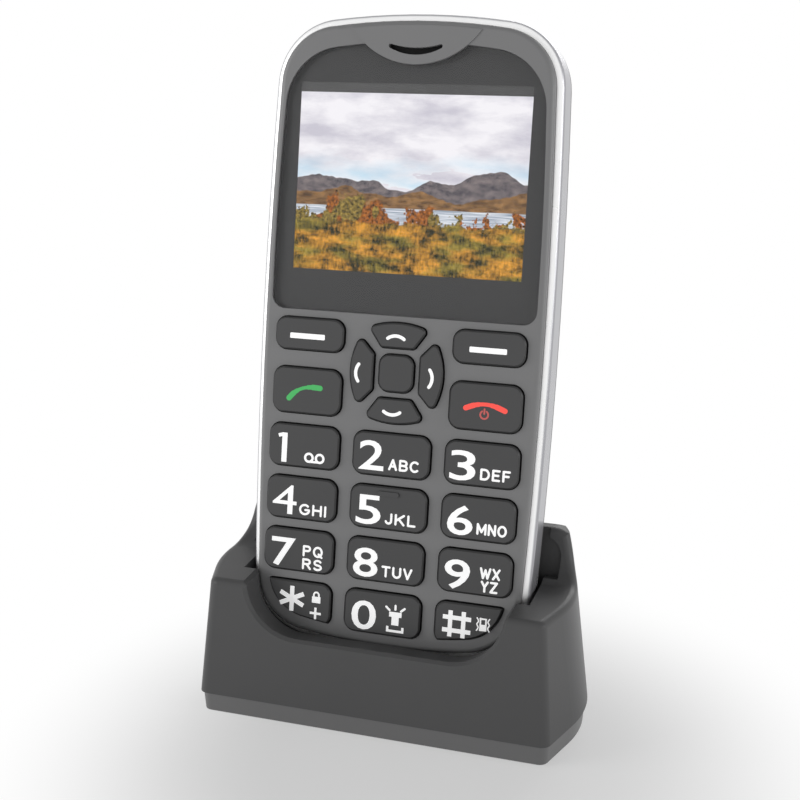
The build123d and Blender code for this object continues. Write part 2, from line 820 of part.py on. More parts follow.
def dock_corners(level, inset):
    """Corners of the dock's plan at a level, with each side moved in by its draft and by the inset"""
    front = Vector(dock_front_width / 2, 0)
    flank = Vector(dock_width / 2 * flank_width_share, dock_depth * flank_depth_share)
    tail = Vector(dock_width / 2 * tail_width_share, dock_depth)
    corners = [front, flank, tail] + [Vector(-place.X, place.Y) for place in (tail, flank, front)]
    drafts = [side_draft, side_draft, back_draft, side_draft, side_draft, front_draft]
    shifts = [(level - seam_height) * math.tan(math.radians(draft)) + inset for draft in drafts]
    moved = []
    for index, corner in enumerate(corners):
        before = (corner - corners[index - 1]).normalized()
        after = (corners[(index + 1) % len(corners)] - corner).normalized()
        turn = before.cross(after).Z
        moved.append(corner + (after * shifts[index - 1] - before * shifts[index]) * (1 / turn))
    return [Vector(place.X, place.Y, level) for place in moved]


def corner_radii(inset):
    """Rounding of each corner of the plan, in the order of the corners"""
    flank = dock_depth * flank_round_share - inset
    tail = dock_depth * tail_round_share - inset
    return [dock_corner_radius, flank, tail, tail, flank, dock_corner_radius]


def dock_plan(inset):
    """Rounded plan of the dock at its seam, drawn in by the inset and set at the level of zero"""
    corners = dock_corners(seam_height, inset)
    face = make_face(Polyline(*[(place.X, place.Y) for place in corners], close=True))
    for place, radius in zip(corners, corner_radii(inset)):
        face = fillet(face.vertices().sort_by_distance((place.X, place.Y, 0))[0], radius)
    return face


def dock_blank(low, high, inset):
    """Tapering body between two levels of the dock, with flat sides and rounded upright corners"""
    lower, upper = dock_corners(low, inset), dock_corners(high, inset)
    sides = [
        make_face(Polyline(lower[index - 1], lower[index], upper[index], upper[index - 1], close=True))
        for index in range(len(lower))
    ]
    ends = [make_face(Polyline(*ring, close=True)) for ring in (lower, upper)]
    body = Solid(Shell([side.face() for side in sides + ends]))
    middle = (low + high) / 2
    for place, radius in zip(dock_corners(middle, inset), corner_radii(inset)):
        body = fillet(body.edges().sort_by_distance(place)[0], radius)
    return body


def pocket(gap, floor_gap):
    """The slot that the phone slides down into, let out by the gap"""
    low = -phone_thickness - gap
    high = pocket_front_gap + gap - pocket_side_gap
    bottom = slab(phone_outline(-gap), low, high)
    upper = block(-phone_width / 2 - gap, phone_width / 2 + gap, phone_length / 2, phone_length, low, high)
    lowered = Pos(0, -floor_gap + gap, 0) * (bottom + upper)
    return phone_place * lowered


def scoop(gap):
    """The cut in the front wall that lets the bottom row of keys show"""
    half = scoop_half_width + gap
    low = scoop_bottom - gap
    high = shelf_height + scoop_radius
    face = make_face(Polyline((-half, low), (half, low), (half, high), (-half, high), close=True))
    face = fillet(face.vertices().sort_by(Axis.Y)[:2], scoop_radius + gap)
    reach = phone_inset_y + pocket_wall
    plane = Plane(origin=(0, 0, 0), x_dir=(1, 0, 0), z_dir=(0, -1, 0))
    solid = extrude(plane * face, reach, both=True)
    pivot = Pos(0, 0, scoop_bottom)
    return pivot * Rot(-scoop_dip, 0, 0) * Pos(0, 0, -scoop_bottom) * solid


def leaning_front(level):
    """Where the front of the raised back stands at a level"""
    return dish_y - dish_relief / rise_share + (level - phone_rise) * lean_slope


def top_cut():
    """Everything over the shelf and in front of the raised back, with a cove where they meet"""
    foot_y = leaning_front(shelf_height)
    head = dock_top + cut_overrun
    head_y = leaning_front(head)
    front = -dock_depth
    outline = Polyline((front, shelf_height), (foot_y, shelf_height), (head_y, head), (front, head),
                       close=True)
    face = make_face(outline)
    corner = face.vertices().sort_by_distance((foot_y, shelf_height, 0))[0]
    face = fillet(corner, shelf_cove)
    plane = Plane(origin=(0, 0, 0), x_dir=(0, 1, 0), z_dir=(1, 0, 0))
    return extrude(plane * face, dock_width, both=True)


def crest_cut():
    """What is taken off above the thin rounded crest of the raised back"""
    reach = dock_depth
    fall = reach * math.tan(math.radians(crest_fall))
    outline = Polyline((crest_y, dock_top), (crest_y + reach, dock_top - fall),
                       (crest_y + reach, dock_top + cut_overrun), (crest_y, dock_top + cut_overrun),
                       close=True)
    plane = Plane(origin=(0, 0, 0), x_dir=(0, 1, 0), z_dir=(1, 0, 0))
    return extrude(plane * make_face(outline), dock_width, both=True)


def crest_frame():
    """Front outline of the raised back, with its two rounded top corners"""
    half = dish_half_width + wing_rim
    low = seam_height - cut_overrun
    foot = dock_corners(shelf_height, 0)[1].X
    spread = (foot - half) * (dock_top - low) / (dock_top - shelf_height)
    outline = Polyline((-half, dock_top), (half, dock_top), (half + spread, low), (-half - spread, low),
                       close=True)
    face = make_face(outline)
    face = fillet(face.vertices().sort_by(Axis.Y)[-2:], wing_radius)
    plane = Plane(origin=(0, 0, 0), x_dir=(1, 0, 0), z_dir=(0, -1, 0))
    return extrude(plane * face, 2 * dock_depth, both=True)


def dish():
    """The shallow dish in the front of the raised back, behind the phone"""
    top = (dock_top - dish_crest - phone_rise) / rise_share + dish_depth * lean_slope
    low = pocket_reach / rise_share + (dish_depth - dish_relief) * lean_slope
    face = make_face(Polyline((-dish_half_width, low), (dish_half_width, low), (dish_half_width, top),
                              (-dish_half_width, top), close=True))
    face = fillet(face.vertices().sort_by(Axis.Y)[-2:], dish_radius)
    return phone_place * slab(face, -dish_depth, 0)


def dock_bosses(radius, low, high):
    """Upright bars at the four fixing places"""
    front = rod(radius, low, high, dock_front_width / 2 - dock_screw_front_inset, dock_screw_front_y)
    back = rod(radius, low, high, dock_front_width / 2 - dock_screw_back_inset,
               dock_depth - dock_screw_tail_inset)
    return [front, mirror(front, about=Plane.YZ), back, mirror(back, about=Plane.YZ)]


def pin_bar(radius, low, high):
    """A round bar along the slide of the phone, under the right charging pad"""
    bar = Pos(pad_x, (low + high) / 2, pad_level) * Rot(90, 0, 0) * Cylinder(radius, high - low)
    return phone_place * bar


pin_top = pad_sag() + seam_gap - pin_contact_gap


def dock_usb_place():
    """Where the inlet of the dock looks out of the back wall"""
    level = dock_board_top + usb_height / 2
    back = dock_depth - (level - seam_height) * math.tan(math.radians(back_draft))
    return Pos(0, back - usb_setback, level) * Rot(0, 0, 180)


def lowest(edge):
    """Level of the lower end of an edge"""
    return min(edge.start_point().Z, edge.end_point().Z)


def front_edges(body):
    """Edges round the shelf and up the front of the raised back, without the long seams of the cove"""
    def in_front(place):
        return place.Z > shelf_height - seam_gap and place.Y < leaning_front(place.Z) + seam_gap

    edges = body.edges().filter_by(
        lambda edge: in_front(edge.start_point()) and in_front(edge.end_point()))
    seams = edges.filter_by(GeomType.LINE).filter_by(
        lambda edge: edge.length > dish_half_width and lowest(edge) < dock_top - crest_width)
    return edges - seams


def scoop_edges(body):
    """Edges where the scoop breaks through the front of the dock"""
    reach = shelf_front_y + 2 * top_round
    return body.edges().filter_by(
        lambda edge: max(edge.start_point().Y, edge.end_point().Y) < reach
        and lowest(edge) > scoop_bottom - dock_wall
        and abs(edge.center().X) < scoop_half_width + seam_gap)


def make_dock_shell():
    """Upper moulding: scooped front, shelf, phone pocket and raised back"""
    body = dock_blank(seam_height, dock_top, 0)
    body = body & crest_frame()
    body = body - top_cut()
    body = body - crest_cut()
    body = fillet(front_edges(body), top_round)
    body = fillet(body.edges().sort_by_distance((0, crest_y, dock_top))[0], crest_round)
    body = body - scoop(0)
    body = chamfer(scoop_edges(body), scoop_bevel)
    body = body - dish()
    room = dock_blank(seam_height - cut_overrun, shelf_height - dock_wall, dock_wall)
    room = room - pocket(pocket_side_gap + pocket_wall, stand_gap + pocket_wall)
    room = room - scoop(pocket_wall)
    for boss in dock_bosses(dock_boss_radius, seam_height, shelf_height):
        room = room - boss
    body = body - room
    body = body - pocket(pocket_side_gap, stand_gap)
    for hole in dock_bosses(dock_screw_radius + seam_gap, 0, base_floor + dock_screw_length + seam_gap):
        body = body - hole
    pin_hole = pin_bar(pin_radius + pin_hole_gap, pocket_floor - pocket_wall - cut_overrun, stand_gap)
    body = body - pin_hole - mirror(pin_hole, about=Plane.YZ)
    return body - dock_usb_place() * usb_hollow(cut_overrun)


def make_dock_base():
    """Lower tray with its tapered edge, board posts and recesses for sole and screws"""
    top = seam_height - seam_gap
    shrink = (top - foot_proud) * math.tan(math.radians(base_draft))
    upper_face = Pos(0, 0, top) * dock_plan(base_inset)
    body = extrude(upper_face, top - foot_proud, dir=(0, 0, -1), taper=base_draft)
    hollow = dock_plan(base_inset + shrink + base_rim)
    tray = slab(hollow, foot_proud + base_floor, seam_height + cut_overrun)
    for boss in dock_bosses(dock_boss_radius, foot_proud, top):
        tray = tray - boss
    body = body - tray
    for x, y in board_corners():
        body = body + rod(post_radius, foot_proud, dock_board_rise - seam_gap, x, y)
    for hole in dock_bosses(dock_screw_radius + seam_gap, 0, seam_height + cut_overrun):
        body = body - hole
    for head in dock_bosses(dock_screw_head_radius + seam_gap, 0,
                            foot_proud + dock_screw_head_height + seam_gap):
        body = body - head
    return body - slab(sole_face(seam_gap), 0, sole_thickness)


def board_corners():
    """Centres of the four posts under the dock board"""
    half = dock_board_width / 2 - post_inset
    return [
        (x, y)
        for x in (-half, half)
        for y in (dock_board_front_y + post_inset, dock_board_back() - post_inset)
    ]


def dock_board_back():
    """The board ends level with the inner end of the inlet's mouth"""
    return dock_depth - dock_wall - back_inset()


def back_inset():
    """How far the back wall has leaned in at the level of the inlet"""
    return (dock_board_top + usb_height - seam_height) * math.tan(math.radians(back_draft)) + usb_setback


def sole_face(gap):
    """Plan of the rubber sole, let out by the gap"""
    face = RectangleRounded(sole_width + 2 * gap, sole_depth + 2 * gap, sole_radius + gap)
    return Pos(0, dock_depth / 2) * face


def make_dock_sole():
    """Rubber sole let into the underside, on which the dock stands"""
    sole = slab(sole_face(0), 0, sole_thickness - seam_gap)
    return chamfer(sole.edges().group_by(Axis.Z)[0], foot_proud / 2)


def make_dock_screws():
    """Four screws up through the base"""
    heads = dock_bosses(dock_screw_head_radius, foot_proud, foot_proud + dock_screw_head_height)
    shanks = dock_bosses(dock_screw_radius, foot_proud + dock_screw_head_height,
                         base_floor + dock_screw_length)
    return Compound(children=[head + shank for head, shank in zip(heads, shanks)])


def make_dock_board():
    """Charging board on its four posts"""
    half = dock_board_width / 2
    return block(-half, half, dock_board_front_y, dock_board_back(), dock_board_rise, dock_board_top)


def make_pin_block():
    """Moulded block that stands on the board and carries both spring pins"""
    half = pad_x + pin_block_overhang
    middle = phone_inset_y - pad_level * rise_share
    body = block(-half, half, middle - pin_block_half_depth, middle + pin_block_half_depth,
                 dock_board_top, phone_rise + cut_overrun)
    above = block(-phone_width, phone_width, barrel_top, phone_length, -phone_width, phone_width)
    body = body - phone_place * above
    hole = pin_bar(pin_barrel_radius + seam_gap, barrel_low - seam_gap, barrel_top + cut_overrun)
    return body - hole - mirror(hole, about=Plane.YZ)


def make_pin_barrels():
    """Two metal sleeves that guide the plungers and hold their springs"""
    sleeve = pin_bar(pin_barrel_radius, barrel_low, barrel_top)
    sleeve = sleeve - pin_bar(pin_radius + slide_gap, barrel_low + pin_barrel_floor,
                              barrel_top + cut_overrun)
    return both_sides(sleeve)


def make_charge_pin():
    """Spring plunger under the right-hand pad"""
    low = barrel_low + pin_barrel_floor + pin_travel + stop_gap
    pin = pin_bar(pin_radius, low, pin_top)
    tip = pin.edges().filter_by(GeomType.CIRCLE).sort_by(Axis.Z)[-1]
    return chamfer(tip, pin_radius / 2)


def build_all():
    """Every node by name, in the dock's own place"""
    faces = key_faces()
    lying = {
        "front_bezel": make_front_bezel(faces),
        "display_lens": make_display_lens(),
        "lcd_module": make_lcd_module(),
        "earpiece_mesh": make_earpiece_mesh(),
        "earpiece_receiver": make_earpiece_receiver(),
        "keypad_mat": make_keypad_mat(),
        "dome_sheet": make_dome_sheet(faces),
        "main_board": make_main_board(),
        "microphone": make_microphone(),
        "vibration_motor": make_vibration_motor(),
        "phone_usb_socket": Pos(0, usb_setback, usb_level) * usb_socket(),
        "charge_pads": make_charge_pads(),
        "rear_housing": make_rear_housing(),
        "torch_lens": make_torch_lens(),
        "battery_terminals": make_battery_terminals(),
        "sim_holder": make_sim_holder(),
        "battery": make_battery(),
        "loudspeaker": make_loudspeaker(),
        "antenna": make_antenna(),
        "sos_button": make_sos_button(),
        "sos_switch": make_sos_switch(),
        "back_cover": make_back_cover(),
        "housing_screws": make_housing_screws(),
    }
    lying.update(make_keys(faces))
    nodes = {name: phone_place * shape for name, shape in lying.items()}
    pin = make_charge_pin()
    nodes.update({
        "dock_shell": make_dock_shell(),
        "dock_base": make_dock_base(),
        "dock_sole": make_dock_sole(),
        "dock_screws": make_dock_screws(),
        "dock_board": make_dock_board(),
        "dock_usb_socket": dock_usb_place() * usb_socket(),
        "pin_block": make_pin_block(),
        "pin_barrels": make_pin_barrels(),
        "charge_pin_right": pin,
        "charge_pin_left": mirror(pin, about=Plane.YZ),
    })
    return {name: dock_shift * shape for name, shape in nodes.items()}


for name, shape in build_all().items():
    export_step(shape, "parts/" + name + ".step")
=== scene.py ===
# %% [markdown]
# # A big-button phone standing in its charging dock
# This lesson dresses a imported CAD model. The model brings every moulding, key and screw as a mesh that
# is already in its place, so we never model those again. What is left for us is what a CAD file cannot
# hold: the camera and light, the finish of each material, the printing on the keys and the lit picture
# behind the window. We start by loading the frame, because each new piece rides on one of its bodies.

import json
import math

import bmesh
import bpy
from mathutils import Matrix, Vector


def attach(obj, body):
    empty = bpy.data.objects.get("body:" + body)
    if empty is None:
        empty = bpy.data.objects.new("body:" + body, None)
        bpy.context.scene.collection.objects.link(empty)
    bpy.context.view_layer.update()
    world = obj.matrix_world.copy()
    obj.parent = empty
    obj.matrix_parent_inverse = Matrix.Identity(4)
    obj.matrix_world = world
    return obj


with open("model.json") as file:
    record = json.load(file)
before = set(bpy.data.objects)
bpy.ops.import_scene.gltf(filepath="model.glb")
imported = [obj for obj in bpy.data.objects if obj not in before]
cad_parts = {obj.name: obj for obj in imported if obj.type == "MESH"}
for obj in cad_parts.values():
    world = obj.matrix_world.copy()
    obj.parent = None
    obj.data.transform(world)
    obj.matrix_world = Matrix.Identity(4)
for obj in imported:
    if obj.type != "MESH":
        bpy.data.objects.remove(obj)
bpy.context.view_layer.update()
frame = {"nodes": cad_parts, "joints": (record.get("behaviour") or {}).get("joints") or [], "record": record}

# %% [markdown]
# ## Directions on a leaning phone
# The phone leans back in its dock, and nearly all of our new pieces lie on its face. It is easier to say
# "12 mm across and 40 mm up the face" than to work in the room's own X, Y and Z, so we make a small set
# of directions for the phone. The slide on which it lifts out of the dock runs straight up the phone, so
# that joint's axis is our upward direction, and the face looks along the line at right angles to it.

# %% Directions of the phone
MM = 0.001
lift = next(joint for joint in frame["joints"] if joint["name"] == "phone_lift")
across_dir = Vector((1.0, 0.0, 0.0))
up_dir = Vector(lift["axis"]).normalized()
out_dir = across_dir.cross(up_dir)


def reach(node, direction):
    """Lowest and highest place of a node along a direction, in metres"""
    places = [vertex.co.dot(direction) for vertex in frame["nodes"][node].data.vertices]
    return min(places), max(places)


bottom_edge = reach("rear_housing", up_dir)[0]
key_top = reach("key_4", out_dir)[1]


def face_matrix(across, up, level):
    """Turns a flat drawing (X right, Y up, Z out) to the phone's face at a place given in metres"""
    origin = across_dir * across + up_dir * (bottom_edge + up) + out_dir * level
    turned = Matrix((across_dir, up_dir, out_dir)).transposed().to_4x4()
    return Matrix.Translation(origin) @ turned


def face_centre(node):
    """Middle of a node, across and up the phone's face"""
    left, right = reach(node, across_dir)
    low, high = reach(node, up_dir)
    return (left + right) / 2, (low + high) / 2 - bottom_edge


def place_object(name, data):
    """An object that holds the data, linked to the scene"""
    thing = bpy.data.objects.new(name, data)
    bpy.context.scene.collection.objects.link(thing)
    return thing


print("key tops to window", round((key_top - reach("display_lens", out_dir)[1]) / MM, 2), "mm")

# %% [markdown]
# ## Camera
# The photograph was taken with a long lens from a little to the right and above. Its place was found by
# lining up the corners of the screen, the middles of the keys and the foot of the dock with the
# photograph, so the camera is given as a place and three angles instead of being aimed by eye. The
# sensor is square here because the picture is, and the lens keeps no shift and no blur.

# %% Camera
camera_place = (83.0 * MM, -255.2 * MM, 150.6 * MM)
camera_turn = math.radians(17.82)
camera_dip = math.radians(17.24)
camera_roll = math.radians(0.17)
photo_width = 800
focal_pixels = 1365.8
sensor_width = 36.0

camera_data = bpy.data.cameras.new("photo_camera")
camera_data.sensor_fit = "HORIZONTAL"
camera_data.sensor_width = sensor_width
camera_data.lens = sensor_width * focal_pixels / photo_width
camera_data.clip_start = 0.01
camera = place_object("photo_camera", camera_data)
camera.location = camera_place
camera.rotation_euler = (math.pi / 2 - camera_dip, camera_roll, camera_turn)
bpy.context.scene.camera = camera
bpy.context.scene.view_settings.view_transform = "Standard"
print("lens", round(camera_data.lens, 2), "mm")

# %% [markdown]
# ## Node helpers
# Light, finishes and drawn signs are all node trees here. A node is always made in the same way: it is
# added and set, and each of its inputs gets a value or a link. We write that once, so that each tree
# below reads like a recipe from top to bottom.

# %% Node helpers
def feed(tree, node, inputs):
    """Gives a node's inputs their values or links, by name or by number"""
    for name, value in inputs.items():
        if isinstance(value, bpy.types.NodeSocket):
            tree.links.new(value, node.inputs[name])
        else:
            node.inputs[name].default_value = value
    return node


def add_node(tree, kind, inputs=None, **settings):
    """A new node with its settings made and its inputs fed"""
    node = tree.nodes.new(kind)
    for name, value in settings.items():
        setattr(node, name, value)
    return feed(tree, node, inputs or {})


def math_node(tree, operation, *values):
    """Result of a Math node fed with sockets or numbers"""
    return add_node(tree, "ShaderNodeMath", dict(enumerate(values)), operation=operation).outputs[0]


def mixed_shader(tree, share, first, second):
    """Shader that runs from one shader to another as a share rises"""
    mix = add_node(tree, "ShaderNodeMixShader", {0: share, 1: first.outputs[0], 2: second.outputs[0]})
    return mix.outputs[0]


def over(tree, mask, behind, front):
    """One colour over another where a mask is high, with a Mix node's colour sockets by number"""
    mix = add_node(tree, "ShaderNodeMix", {0: mask, 6: behind, 7: front}, data_type="RGBA")
    return mix.outputs[2]


white = (1.0, 1.0, 1.0, 1.0)
print("helpers ready, paper white is", white)

# %% [markdown]
# ## Light
# Small products are lit softly from all round. In the photograph the upright faces are clearly lighter
# than the shelf of the dock, which looks straight up, so the studio's light comes from the sides and
# from low down, and little of it from overhead. The world copies that: it is bright round the horizon
# and dark at the top. The background is white because the world looks white to the camera, through the
# clear pieces and in reflections. That adds no light to matt surfaces, and it draws the bright line
# along the silver rim.

# %% World
horizon_level = 1.07
zenith_level = 0.06
world = bpy.data.worlds.new("studio")
bpy.context.scene.world = world
world.use_nodes = True
tree = world.node_tree
tree.nodes.clear()
rays = add_node(tree, "ShaderNodeLightPath").outputs
mirrored = math_node(tree, "MAXIMUM", rays["Is Transmission Ray"], rays["Is Glossy Ray"])
seen = math_node(tree, "MAXIMUM", rays["Is Camera Ray"], mirrored)
looking = add_node(tree, "ShaderNodeTexCoord").outputs["Generated"]
looking_parts = add_node(tree, "ShaderNodeSeparateXYZ", {0: looking})
darker_up = add_node(
    tree, "ShaderNodeMapRange",
    {"Value": looking_parts.outputs["Z"], "From Min": 0.05, "From Max": 0.75,
     "To Min": horizon_level, "To Max": zenith_level},
    interpolation_type="SMOOTHSTEP")
general = add_node(tree, "ShaderNodeBackground",
                   {"Color": white, "Strength": darker_up.outputs["Result"]})
paper = add_node(tree, "ShaderNodeBackground", {"Color": white, "Strength": 1.0})
add_node(tree, "ShaderNodeOutputWorld", {"Surface": mixed_shader(tree, seen, general, paper)})
print("world from", horizon_level, "to", zenith_level)

# %% [markdown]
# The world alone would light every side alike. Three soft area lamps, on the left, on the right and
# behind, give the keys and the dock a lit side and a shaded one. They are large for their distance,
# because the shadows in the photograph have no clear edge.

# %% Lamps
def soft_lamp(name, place, target, size, power):
    """A square area lamp that looks at a point"""
    data = bpy.data.lights.new(name, "AREA")
    data.shape = "SQUARE"
    data.size = size
    data.energy = power
    lamp = place_object(name, data)
    lamp.location = place
    lamp.rotation_euler = (Vector(target) - Vector(place)).to_track_quat("-Z", "Y").to_euler()


middle = (0.0, 0.0, 0.06)
soft_lamp("lamp_front_left", (-0.85, -0.52, 0.35), middle, 0.5, 3.4)
soft_lamp("lamp_right", (0.80, -0.05, 0.25), middle, 0.35, 1.6)
soft_lamp("lamp_back", (0.10, 0.80, 0.45), middle, 0.5, 2.0)
print("lamps", len(bpy.data.lights))

# %% [markdown]
# ## Floor
# The floor is a sheet of white paper. It takes a soft shadow close to the dock and glows to plain white
# further out, as paper that is lit by itself does. A lamp for the paper would also light the dock, so
# the glow is mixed in by the distance from the dock, with its middle moved to where the shadow falls.

# %% Floor
def new_material(name):
    """A material with its tree and its Principled shader, which every finish starts from"""
    material = bpy.data.materials.new(name)
    material.use_nodes = True
    return material, material.node_tree, material.node_tree.nodes["Principled BSDF"]


floor_half = 1.5
floor_grey = (0.80, 0.80, 0.80, 1.0)
paper_start = 0.03
paper_end = 0.093
paper_share = 0.42
shade_centre = (0.014, -0.024, 0.0)
mesh = bpy.data.meshes.new("floor")
sheet = bmesh.new()
bmesh.ops.create_grid(sheet, x_segments=1, y_segments=1, size=floor_half)
sheet.to_mesh(mesh)
sheet.free()
floor = place_object("floor", mesh)
material, tree, shader = new_material("paper_floor")
feed(tree, shader, {"Base Color": floor_grey, "Roughness": 0.9, "Specular IOR Level": 0.0})
glow = add_node(tree, "ShaderNodeEmission", {"Color": white, "Strength": 1.0})
place = add_node(tree, "ShaderNodeTexCoord").outputs["Object"]
centred = add_node(tree, "ShaderNodeVectorMath", {0: place, 1: shade_centre}, operation="SUBTRACT")
distance = add_node(tree, "ShaderNodeVectorMath", {0: centred.outputs["Vector"]}, operation="LENGTH")
fade = add_node(
    tree, "ShaderNodeMapRange",
    {"Value": distance.outputs["Value"], "From Min": paper_start, "From Max": paper_end,
     "To Min": paper_share},
    interpolation_type="SMOOTHSTEP")
lit_paper = mixed_shader(tree, fade.outputs["Result"], shader, glow)
feed(tree, tree.nodes["Material Output"], {"Surface": lit_paper})
mesh.materials.append(material)
print("floor", 2 * floor_half, "m wide")

# %% [markdown]
# ## Finishes that several pieces share
# Nearly everything here is moulded plastic or plated metal. A real moulding is never one flat colour: it
# has a fine spark-eroded grain, a slow drift of tone, and gloss that changes a little from place to
# place. These three belong together on every piece, so they are made once as a node group. The group
# puts out a colour, a roughness and a bent normal, and each material keeps its own shader.

# %% Groups and noise
def new_group(name, kind, inputs, outputs):
    """A node group with named inputs and outputs, and the nodes at both its ends"""
    tree = bpy.data.node_groups.new(name, kind)
    for way, sockets in (("INPUT", inputs), ("OUTPUT", outputs)):
        for title, socket_kind, *value in sockets:
            socket = tree.interface.new_socket(name=title, in_out=way,
                                               socket_type="NodeSocket" + socket_kind)
            if value:
                socket.default_value = value[0]
    return tree, tree.nodes.new("NodeGroupInput").outputs, tree.nodes.new("NodeGroupOutput")


def noise_node(tree, vector, scale, detail=4.0, roughness=0.5):
    """Value of a Noise texture read at a vector socket"""
    noise = add_node(tree, "ShaderNodeTexNoise",
                     {"Vector": vector, "Scale": scale, "Detail": detail, "Roughness": roughness})
    return noise.outputs["Fac"]


print("groups so far", len(bpy.data.node_groups))

# %% Moulded surface group
grain_height = 0.2 * MM
surface_group, given, result = new_group(
    "moulded_surface", "ShaderNodeTree",
    [("Colour", "Color", (0.5, 0.5, 0.5, 1.0)), ("Tone Drift", "Float", 0.05),
     ("Grain Scale", "Float", 3000.0), ("Grain Depth", "Float", 0.02),
     ("Gloss", "Float", 0.45), ("Gloss Drift", "Float", 0.06)],
    [("Colour", "Color"), ("Roughness", "Float"), ("Normal", "Vector")])
place = add_node(surface_group, "ShaderNodeTexCoord").outputs["Object"]
drift = math_node(surface_group, "SUBTRACT", noise_node(surface_group, place, 55.0), 0.5)
tone = math_node(surface_group, "MULTIPLY_ADD", drift, given["Tone Drift"], 1.0)
tinted = add_node(surface_group, "ShaderNodeVectorMath", {0: given["Colour"], "Scale": tone},
                  operation="SCALE")
gloss = math_node(surface_group, "MULTIPLY_ADD", drift, given["Gloss Drift"], given["Gloss"])
grain = noise_node(surface_group, place, given["Grain Scale"], 2.0)
bump = add_node(surface_group, "ShaderNodeBump",
                {"Distance": grain_height, "Strength": given["Grain Depth"], "Height": grain})
feed(surface_group, result,
     {"Colour": tinted.outputs[0], "Roughness": gloss, "Normal": bump.outputs["Normal"]})
print("group", surface_group.name, len(surface_group.nodes), "nodes")

# %% [markdown]
# Two finishes change colour across a piece, and both are painted light. The sides of the keys are painted
# nearly black as painted shade, and the front edge of the silver frame is painted near white as a painted
# highlight. Both changes are measured out of the phone's face, one by the way a surface looks and one by
# its place, so a second group turns a vector into a colour, and each material hands it the vector that
# it needs.

# %% Face tint group
face_tint_group, given, result = new_group(
    "face_tint", "ShaderNodeTree",
    [("Vector", "Vector"), ("Start", "Float", 0.0), ("End", "Float", 1.0),
     ("Back Colour", "Color", (0.1, 0.1, 0.1, 1.0)), ("Front Colour", "Color", (0.9, 0.9, 0.9, 1.0))],
    [("Colour", "Color")])
outward = add_node(face_tint_group, "ShaderNodeVectorMath", {0: given["Vector"], 1: out_dir},
                   operation="DOT_PRODUCT")
share = add_node(face_tint_group, "ShaderNodeMapRange",
                 {"Value": outward.outputs["Value"], "From Min": given["Start"],
                  "From Max": given["End"]})
tint = over(face_tint_group, share.outputs["Result"], given["Back Colour"], given["Front Colour"])
feed(face_tint_group, result, {"Colour": tint})
print("group", face_tint_group.name, len(face_tint_group.nodes), "nodes")

# %% [markdown]
# With the groups in place, a finish is a name, a colour and a few values. Each finish is kept in a table
# under its name, because the record of the model asks for it by that name.

# %% Finish built on the groups
finishes = {}


def finish(name, colour, gloss, grain_scale=3000.0, grain_depth=0.05, tone_drift=0.08, metallic=0.0,
           specular=0.5):
    """A material whose colour, gloss and grain come from the moulded surface group"""
    material, tree, shader = new_material(name)
    surface = add_node(
        tree, "ShaderNodeGroup",
        {"Colour": (*colour, 1.0), "Gloss": gloss, "Grain Scale": grain_scale,
         "Grain Depth": grain_depth, "Tone Drift": tone_drift},
        node_tree=surface_group)
    feed(tree, shader,
         {"Metallic": metallic, "Specular IOR Level": specular, "Base Color": surface.outputs["Colour"],
          "Roughness": surface.outputs["Roughness"], "Normal": surface.outputs["Normal"]})
    finishes[name] = material
    return tree, surface


def tint_by_face(tree, surface, source, start, end, back, front):
    """Lets the colour of a finish turn from back to front, by Normal or by Object coordinates"""
    vector = add_node(tree, "ShaderNodeTexCoord").outputs[source]
    tint = add_node(
        tree, "ShaderNodeGroup",
        {"Vector": vector, "Start": start, "End": end, "Back Colour": (*back, 1.0),
         "Front Colour": (*front, 1.0)},
        node_tree=face_tint_group)
    feed(tree, surface, {"Colour": tint.outputs["Colour"]})


print("finish helpers ready, finishes so far", len(finishes))

# %% [markdown]
# ## The finish of each material
# The record names a material slot for every node, so a finish is written once for each slot. The bezel
# and the dock are satin plastics with a spark-eroded grain, the keys are a harder, darker satin, the
# frame is silver paint with fine metal flakes, and the pieces inside have the plating, film and solder
# mask that such pieces have.

# %% Plastics and rubber
finish("bezel_grey", (0.173, 0.173, 0.175), 0.42, 4200.0, 0.10)
finish("dock_grey", (0.078, 0.078, 0.079), 0.40, 3600.0, 0.08, specular=0.2)
finish("tray_grey", (0.130, 0.130, 0.131), 0.42, 3600.0, 0.08, specular=0.4)
finish("cover_grey", (0.085, 0.085, 0.087), 0.48, 2600.0, 0.16)
finish("black_moulding", (0.022, 0.022, 0.023), 0.45)
finish("rubber_black", (0.028, 0.028, 0.029), 0.75, 1800.0, 0.20, 0.20)
finish("battery_wrap", (0.045, 0.047, 0.055), 0.30)
finish("help_red", (0.52, 0.025, 0.020), 0.34)
finish("contact_film", (0.62, 0.56, 0.42), 0.25)
key_paint = (0.058, 0.058, 0.059)
# painted shade: where a key's surface turns away from the face, its colour runs to nearly black, for the
# shade on the key sides
key_side_painted_shade = (0.012, 0.012, 0.012)
side_facing, top_facing = 0.60, 0.86
tree, surface = finish("key_grey", key_paint, 0.42, 5200.0, 0.06, specular=0.35)
tint_by_face(tree, surface, "Normal", side_facing, top_facing, key_side_painted_shade, key_paint)
print("plastics", len(finishes))

